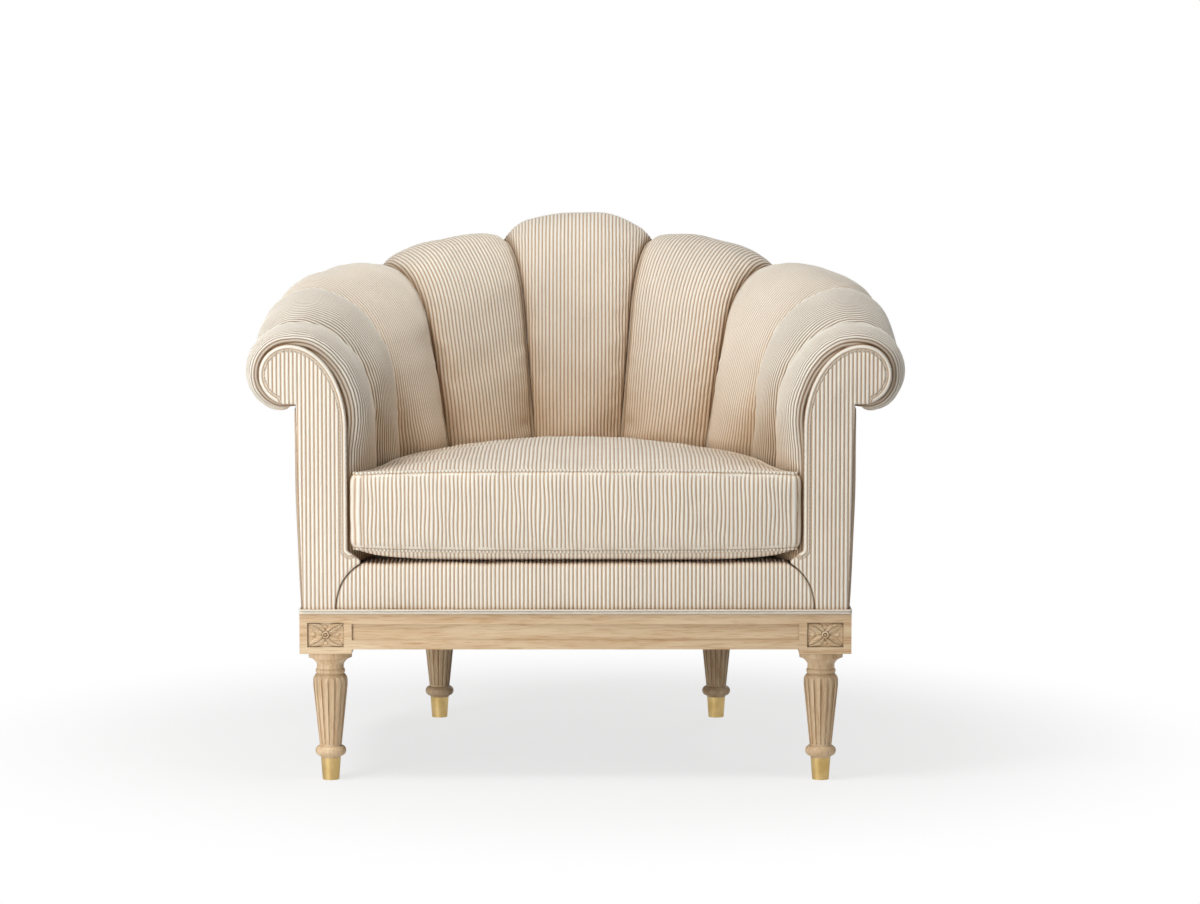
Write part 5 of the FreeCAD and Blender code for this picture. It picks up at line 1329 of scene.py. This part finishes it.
@dataclass
class BaseWelt:
    """Double welt round the foot of the upholstery: two covered cords, one on the other."""

    radius: float = 1.75
    low: float = 242.25
    inset: float = 0.8
    front: float = -6.9
    corner: float = 2.5

    def build(self, finishes: Finishes) -> None:
        """Lay both cords along the base outline."""
        loop = OUTLINE.around(self.inset, self.front, 3.0)
        loop = loop[(loop[:, 1] > self.front + self.corner)]
        centre = np.array([loop[-1, 0] - self.corner, self.front + self.corner])
        bend = [centre + np.array([math.cos(turn), -math.sin(turn)]) * self.corner
                for turn in np.radians((15, 45, 75, 90))]
        front = np.stack([np.linspace(bend[-1][0], -bend[-1][0], 240)[1:-1], np.full(238, self.front)], 1)
        path = np.concatenate([loop, bend, front, (np.array(bend) * MIRROR)[::-1]])
        ahead = np.roll(path, -1, 0) - np.roll(path, 1, 0)
        out = np.stack([-ahead[:, 1], ahead[:, 0], 0 * ahead[:, 0]], 1)
        piece = Piece()
        for level in (self.low + self.radius, self.low + 3 * self.radius):
            line = np.concatenate([path, np.full((len(path), 1), level)], 1)
            sweep(piece, line, out, round_profile(self.radius, 8), closed=True, slant=4.0)
        made = piece.build("double_welt", finishes["corduroy_piping"])
        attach(made, "chair")
        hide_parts("base_welt")


@dataclass
class UnderCover:
    """Black cloth stapled under the seat frame."""

    inset: float = 29.0
    front: float = 23.0
    block_wide: float = 74.0
    block_deep: float = 68.0
    play: float = 3.0
    rear_inset: float = 37.0
    rear_half: float = 41.0

    def build(self, finishes: Finishes) -> None:
        """Stretch the cloth under the frame, cut out round the corner blocks."""
        loop = OUTLINE.around(self.inset, self.front, 4.0)
        right = loop[loop[:, 0] >= 0][::-1]
        depths = np.linspace(self.front, OUTLINE.back - self.inset - 0.2, 90)
        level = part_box("dust_cover")[0][2] / MM
        points, half = stretched(right, depths, 91, level, wave=120.0, seed=51, dip=1.0)
        piece = Piece()
        piece.grid(points, points[..., 0])
        rear, way = OUTLINE.rear_corner(self.rear_inset)
        spots = np.concatenate(piece.points)

        def in_block(face: tuple[int, ...]) -> bool:
            """Whether a face lies within a corner block."""
            spot = spots[list(face)].mean(0)
            flat = np.array([abs(spot[0]), spot[1]])
            if (flat[0] > OUTLINE.half_width - self.block_wide - self.play
                    and flat[1] < self.block_deep + self.play):
                return True
            away = flat - rear
            return max(abs(away @ way), abs(away @ np.array([way[1], -way[0]]))) < self.rear_half

        piece.faces = [face for face in piece.faces if not in_block(face)]
        made = piece.build("under_cloth", finishes["black_dust_cloth"])
        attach(made, "chair")
        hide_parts("dust_cover")


@dataclass
class ZipTape:
    """Zip tape with its coil along the rear border of the cushion."""

    radius: float = 202.8
    centre: float = 289.0
    half_angle: float = 28.0
    low: float = 377.25
    high: float = 399.25
    tooth: float = 2.0
    coil: tuple[float, float] = (1.6, 2.6)

    def build(self, finishes: Finishes) -> None:
        """Make the tape with its coil teeth as a shallow relief."""
        angle = np.radians(np.linspace(-self.half_angle, self.half_angle, 420))
        levels = np.concatenate([[self.low], np.linspace(self.low + 0.6, self.high - 0.6, 23), [self.high]])
        middle = (self.low + self.high) / 2
        inside = 1 - smooth_step(np.abs(levels - middle), *self.coil)
        waves = np.sign(np.sin(angle * self.radius * 2 * math.pi / self.tooth))[None]
        teeth = 0.5 + 0.5 * waves * np.sign(levels - middle)[:, None]
        out = 0.9 + 0.5 * inside[:, None] * teeth
        out[0], out[-1] = 0.0, 0.0
        far = self.radius + out
        outer = np.stack([far * np.sin(angle), self.centre + far * np.cos(angle),
                          np.broadcast_to(levels[:, None], far.shape)], -1)
        piece = Piece()
        # painted shade beside the coil, stored on the mesh; the tape's finish does not read it
        piece.grid(outer, 0.0, 0.25 * (1 - inside)[:, None] * (np.abs(levels - middle) < 3.2)[:, None])
        made = piece.build("zip_coil_tape", finishes["cotton_tape"], smooth=False)
        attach(made, "cushion")
        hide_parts("zip_tape")


@dataclass
class Rosette:
    """Carved panel on a corner block: four leaves that cross at a button, in a sunk square."""

    label: str
    centre: tuple[float, float]
    outward: tuple[float, float]
    half: float = 25.6
    low: float = 195.2
    high: float = 229.8
    relief: float = 2.9
    ground: float = 0.05
    leaf: float = 6.2
    vein: float = 4.2
    berries: tuple[float, float] = (17.5, 11.5)
    ring: float = 4.0
    button: float = 5.8

    def height(self, across: np.ndarray, up: np.ndarray) -> np.ndarray:
        """Relief of the carving over its panel."""
        tall = (self.high - self.low) / 2
        total = np.full(across.shape, self.ground)
        for side, way in ((-1, -1), (-1, 1), (1, -1), (1, 1)):
            tip = np.array([side * (self.half - 2.5), way * (tall - 2.0)])
            length = float(np.linalg.norm(tip))
            along = (across * tip[0] + up * tip[1]) / length
            beside = (up * tip[0] - across * tip[1]) / length
            share = np.clip(along / length, 0.0, 1.0)
            beside = beside - 2.2 * side * way * np.sin(math.pi * share)
            wide = self.leaf * np.sin(math.pi * np.clip(share, 0.02, 0.98)) ** 0.7 + 0.6
            rib = 1 - 0.55 * np.exp(-(beside / 0.8) ** 2)
            wave = np.cos(2 * math.pi * (along - 1.3 * np.abs(beside)) / self.vein)
            veins = 1 - 0.3 * (0.5 + 0.5 * wave)
            leaf = dome(beside / wide) * np.sqrt((along > 0) & (along < length)) * rib * veins
            total = np.maximum(total, self.relief * leaf)
        for turn in np.radians((0, 90, 180, 270)):
            spot = np.array(self.berries) * (math.cos(turn), math.sin(turn))
            away = np.hypot((across - spot[0]) / 3.4, (up - spot[1]) / 3.0)
            total = np.maximum(total, 1.7 * dome(away))
        away = np.hypot(across, up)
        middle = self.relief * np.maximum(dome((away - self.ring) / 1.6), dome(away / 2.4))
        total = np.where(away < self.button, middle + 0.25, total)
        edge = np.minimum(self.half - np.abs(across), tall - np.abs(up))
        return np.where(edge < 0.01, self.ground, np.minimum(total, self.ground + 2.2 * edge))

    def build(self, finishes: Finishes) -> None:
        """Carve the panel as a relief that stands on the sunk face."""
        across, up = np.meshgrid(np.linspace(-self.half, self.half, 129),
                                 np.linspace(self.low, self.high, 89))
        height = self.height(across, up - (self.low + self.high) / 2)
        way = np.array(self.outward)
        beside = np.array([-way[1], way[0]])
        piece = Piece()
        for out, every in ((height, 1), (np.full(up.shape, 0.02), 8)):
            flat = np.array(self.centre) + beside * across[..., None] + way * out[..., None]
            piece.grid(np.concatenate([flat, up[..., None]], -1)[::every, ::every])
        made = piece.build(f"carved_{self.label}", finishes["carved_oak"])
        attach(made, "chair")


class Chair:
    """The whole armchair."""

    def __init__(self) -> None:
        self.finishes = Finishes()

    def upholster(self) -> None:
        """Make every stuffed piece."""
        for number in range(5):
            for side in ((1,) if number == 0 else (-1, 1)):
                made = StuffedChannel(number, side).build(self.finishes)
                log.info("%s: %d points", made.name, len(made.data.vertices))
        ChannelPiping().build(self.finishes)
        cushion = Cushion()
        cushion.cover(self.finishes)
        cushion.seams(self.finishes)
        for side in (-1, 1):
            ArmFacing(side).build(self.finishes)
        deck = SeatDeck()
        deck.border(self.finishes)
        deck.deck(self.finishes)
        OutsidePanel("outside_back", -2.5, 2.5).build(self.finishes)
        OutsidePanel("outside_arm_right", 2.5, 4.5).build(self.finishes)
        OutsidePanel("outside_arm_left", 2.5, 4.5, side=-1).build(self.finishes)
        BaseWelt().build(self.finishes)
        UnderCover().build(self.finishes)
        ZipTape().build(self.finishes)

    def carve(self) -> None:
        """Carve the rosettes of the four corner blocks."""
        rear, way = OUTLINE.rear_corner(3.0)
        for name, side in SIDES.items():
            Rosette(f"front_{name}", (side * 354.0, -3.0), (0.0, -1.0)).build(self.finishes)
            Rosette(f"rear_{name}", (side * rear[0], rear[1]), (side * way[0], way[1])).build(self.finishes)

    def dress_frame(self) -> None:
        """Give each carried-over node its finish."""
        by_slot = {"frame_wood": "planed_beech", "plywood": "birch_plywood", "brass": "satin_brass",
                   "zip_metal": "cast_brass", "steel": "zinc_plated_steel", "corduroy": "cotton_corduroy",
                   "welt": "corduroy_piping", "decking": "decking_cotton", "padding": "needled_felt",
                   "foam": "moulded_foam", "hessian": "woven_hessian", "dust_cloth": "black_dust_cloth",
                   "zip_tape": "cotton_tape"}
        slots = {part["node"]: part["material_slot"] for part in frame["record"]["subparts"]}
        for node, piece in frame["nodes"].items():
            finish = by_slot.get(slots[node], "oiled_oak_across")
            if slots[node] == "oak" and "leg" in node:
                finish = "oiled_oak_up"
            elif slots[node] == "oak" and "side" in node:
                finish = "oiled_oak_back"
            for slot in piece.material_slots:
                slot.material = self.finishes[finish]
            log.info("%s: %s", node, finish)


# Stage

# Name, place and size in metres, and power in watts of each lamp
LAMPS = (
    ("key", (-1.3, -1.2, 2.9), 1.0, 48.0),
    ("fill", (-1.3, -1.7, 0.35), 0.8, 17.0),
    ("side", (2.0, -1.6, 1.4), 1.0, 8.0),
    ("top", (0.2, -0.6, 3.2), 1.6, 18.0),
    ("back", (1.2, 2.8, 1.6), 1.4, 12.0),
)


def add_floor() -> None:
    """Plain pale floor that keeps the chair's shadow and fades to white."""
    mesh = bpy.data.meshes.new("floor")
    mesh.from_pydata([(-14, -8, 0), (14, -8, 0), (14, 20, 0), (-14, 20, 0)], [], [(0, 1, 2, 3)])
    material, tree, shader = new_material("pale_floor")
    fill_node(shader, {"Roughness": 0.9, "Specular IOR Level": 0.1, "Base Color": linear("#E4E4E4")})
    path = add_node(tree, "LightPath")
    seen = add_node(tree, "Math", {"operation": "MAXIMUM"},
                    {0: path.outputs["Is Camera Ray"], 1: path.outputs["Is Glossy Ray"]})
    seen = add_node(tree, "Math", {"operation": "MAXIMUM"},
                    {0: seen, 1: path.outputs["Is Transmission Ray"]})
    place = add_node(tree, "TexCoord")
    far = add_node(tree, "VectorMath", {"operation": "LENGTH"}, {0: place.outputs["Object"]})
    fade = add_node(tree, "MapRange", {"From Min": 0.5, "From Max": 1.05, "To Min": 0.74, "To Max": 1.0,
                                       "interpolation_type": "SMOOTHSTEP"}, {"Value": far})
    share = add_node(tree, "Math", {"operation": "MULTIPLY"}, {0: seen, 1: fade})
    glow = add_node(tree, "Emission", {"Color": (1, 1, 1, 1), "Strength": 1.0})
    mixed = add_node(tree, "MixShader", None, {0: share, 1: shader, 2: glow})
    fill_node(tree.nodes["Material Output"], None, {"Surface": mixed})
    mesh.materials.append(material)
    floor = bpy.data.objects.new("floor", mesh)
    bpy.context.scene.collection.objects.link(floor)


def add_lamp(name: str, spot: tuple[float, float, float], size: float, power: float) -> None:
    """Soft square lamp that faces the chair."""
    lamp = bpy.data.lights.new(name, "AREA")
    lamp.size = size
    lamp.energy = power
    holder = bpy.data.objects.new(name, lamp)
    holder.location = spot
    holder.rotation_euler = (Vector((0, 0, 0.4)) - Vector(spot)).to_track_quat("-Z", "Y").to_euler()
    bpy.context.scene.collection.objects.link(holder)


def add_light() -> None:
    """Soft studio light from the upper left front, and an even world that looks white."""
    for name, spot, size, power in LAMPS:
        add_lamp(name, spot, size, power)
    world = bpy.data.worlds.new("studio")
    world.use_nodes = True
    tree = world.node_tree
    path = add_node(tree, "LightPath")
    place = add_node(tree, "TexCoord")
    facing = add_node(tree, "VectorMath", {"operation": "DOT_PRODUCT", 1: (-0.55, -0.83, 0.1)},
                      {0: place.outputs["Generated"]})
    window = add_node(tree, "MapRange", {"From Min": 0.45, "From Max": 0.9, "To Min": 0.12, "To Max": 1.0},
                      {"Value": facing})
    mirrored = add_node(tree, "Math", {"operation": "MULTIPLY"},
                        {0: path.outputs["Is Glossy Ray"], 1: window})
    seen = add_node(tree, "Math", {"operation": "MAXIMUM"},
                    {0: path.outputs["Is Camera Ray"], 1: path.outputs["Is Transmission Ray"]})
    seen = add_node(tree, "Math", {"operation": "MAXIMUM"}, {0: seen, 1: mirrored})
    level = add_node(tree, "MapRange", {"To Min": 0.15, "To Max": 1.0}, {"Value": seen})
    fill_node(tree.nodes["Background"], {"Color": (1, 1, 1, 1)}, {"Strength": level})
    bpy.context.scene.world = world


def add_camera() -> None:
    """Camera 5.6 m in front of the arms and 1.0 m up, looking 5.4 degrees down."""
    width, middle_row, middle_column = 1200.0, 452.0, 600.0  # of the photo, in pixels
    chair_column, horizon, focal = 575.5, 80.0, 3951.0
    distance, height = 5614.0, 1.001
    camera = bpy.data.cameras.new("camera")
    camera.sensor_width = 36.0
    camera.lens = camera.sensor_width * 3994.0 / width
    holder = bpy.data.objects.new("camera", camera)
    pitch = math.atan2(middle_row - horizon, focal)
    across = (middle_column - chair_column) * 5600.0 / focal * MM
    holder.location = (across, -(distance + MIDDLE) * MM, height)
    holder.rotation_euler = (math.pi / 2 - pitch, 0.0, 0.0)
    bpy.context.scene.collection.objects.link(holder)
    bpy.context.scene.camera = holder
    bpy.context.scene.view_settings.view_transform = "Standard"


def plain(box: object) -> list[list[float]]:
    """Corners of a box as plain lists."""
    return [[float(value) for value in corner] for corner in box]


def main() -> None:
    """Build the chair's looks and its stage."""
    logging.basicConfig(level=logging.INFO, format="%(name)s %(message)s")
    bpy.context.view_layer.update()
    chair = Chair()
    chair.dress_frame()
    chair.upholster()
    chair.carve()
    add_floor()
    add_light()
    add_camera()


if __name__ == "__main__":
    main()
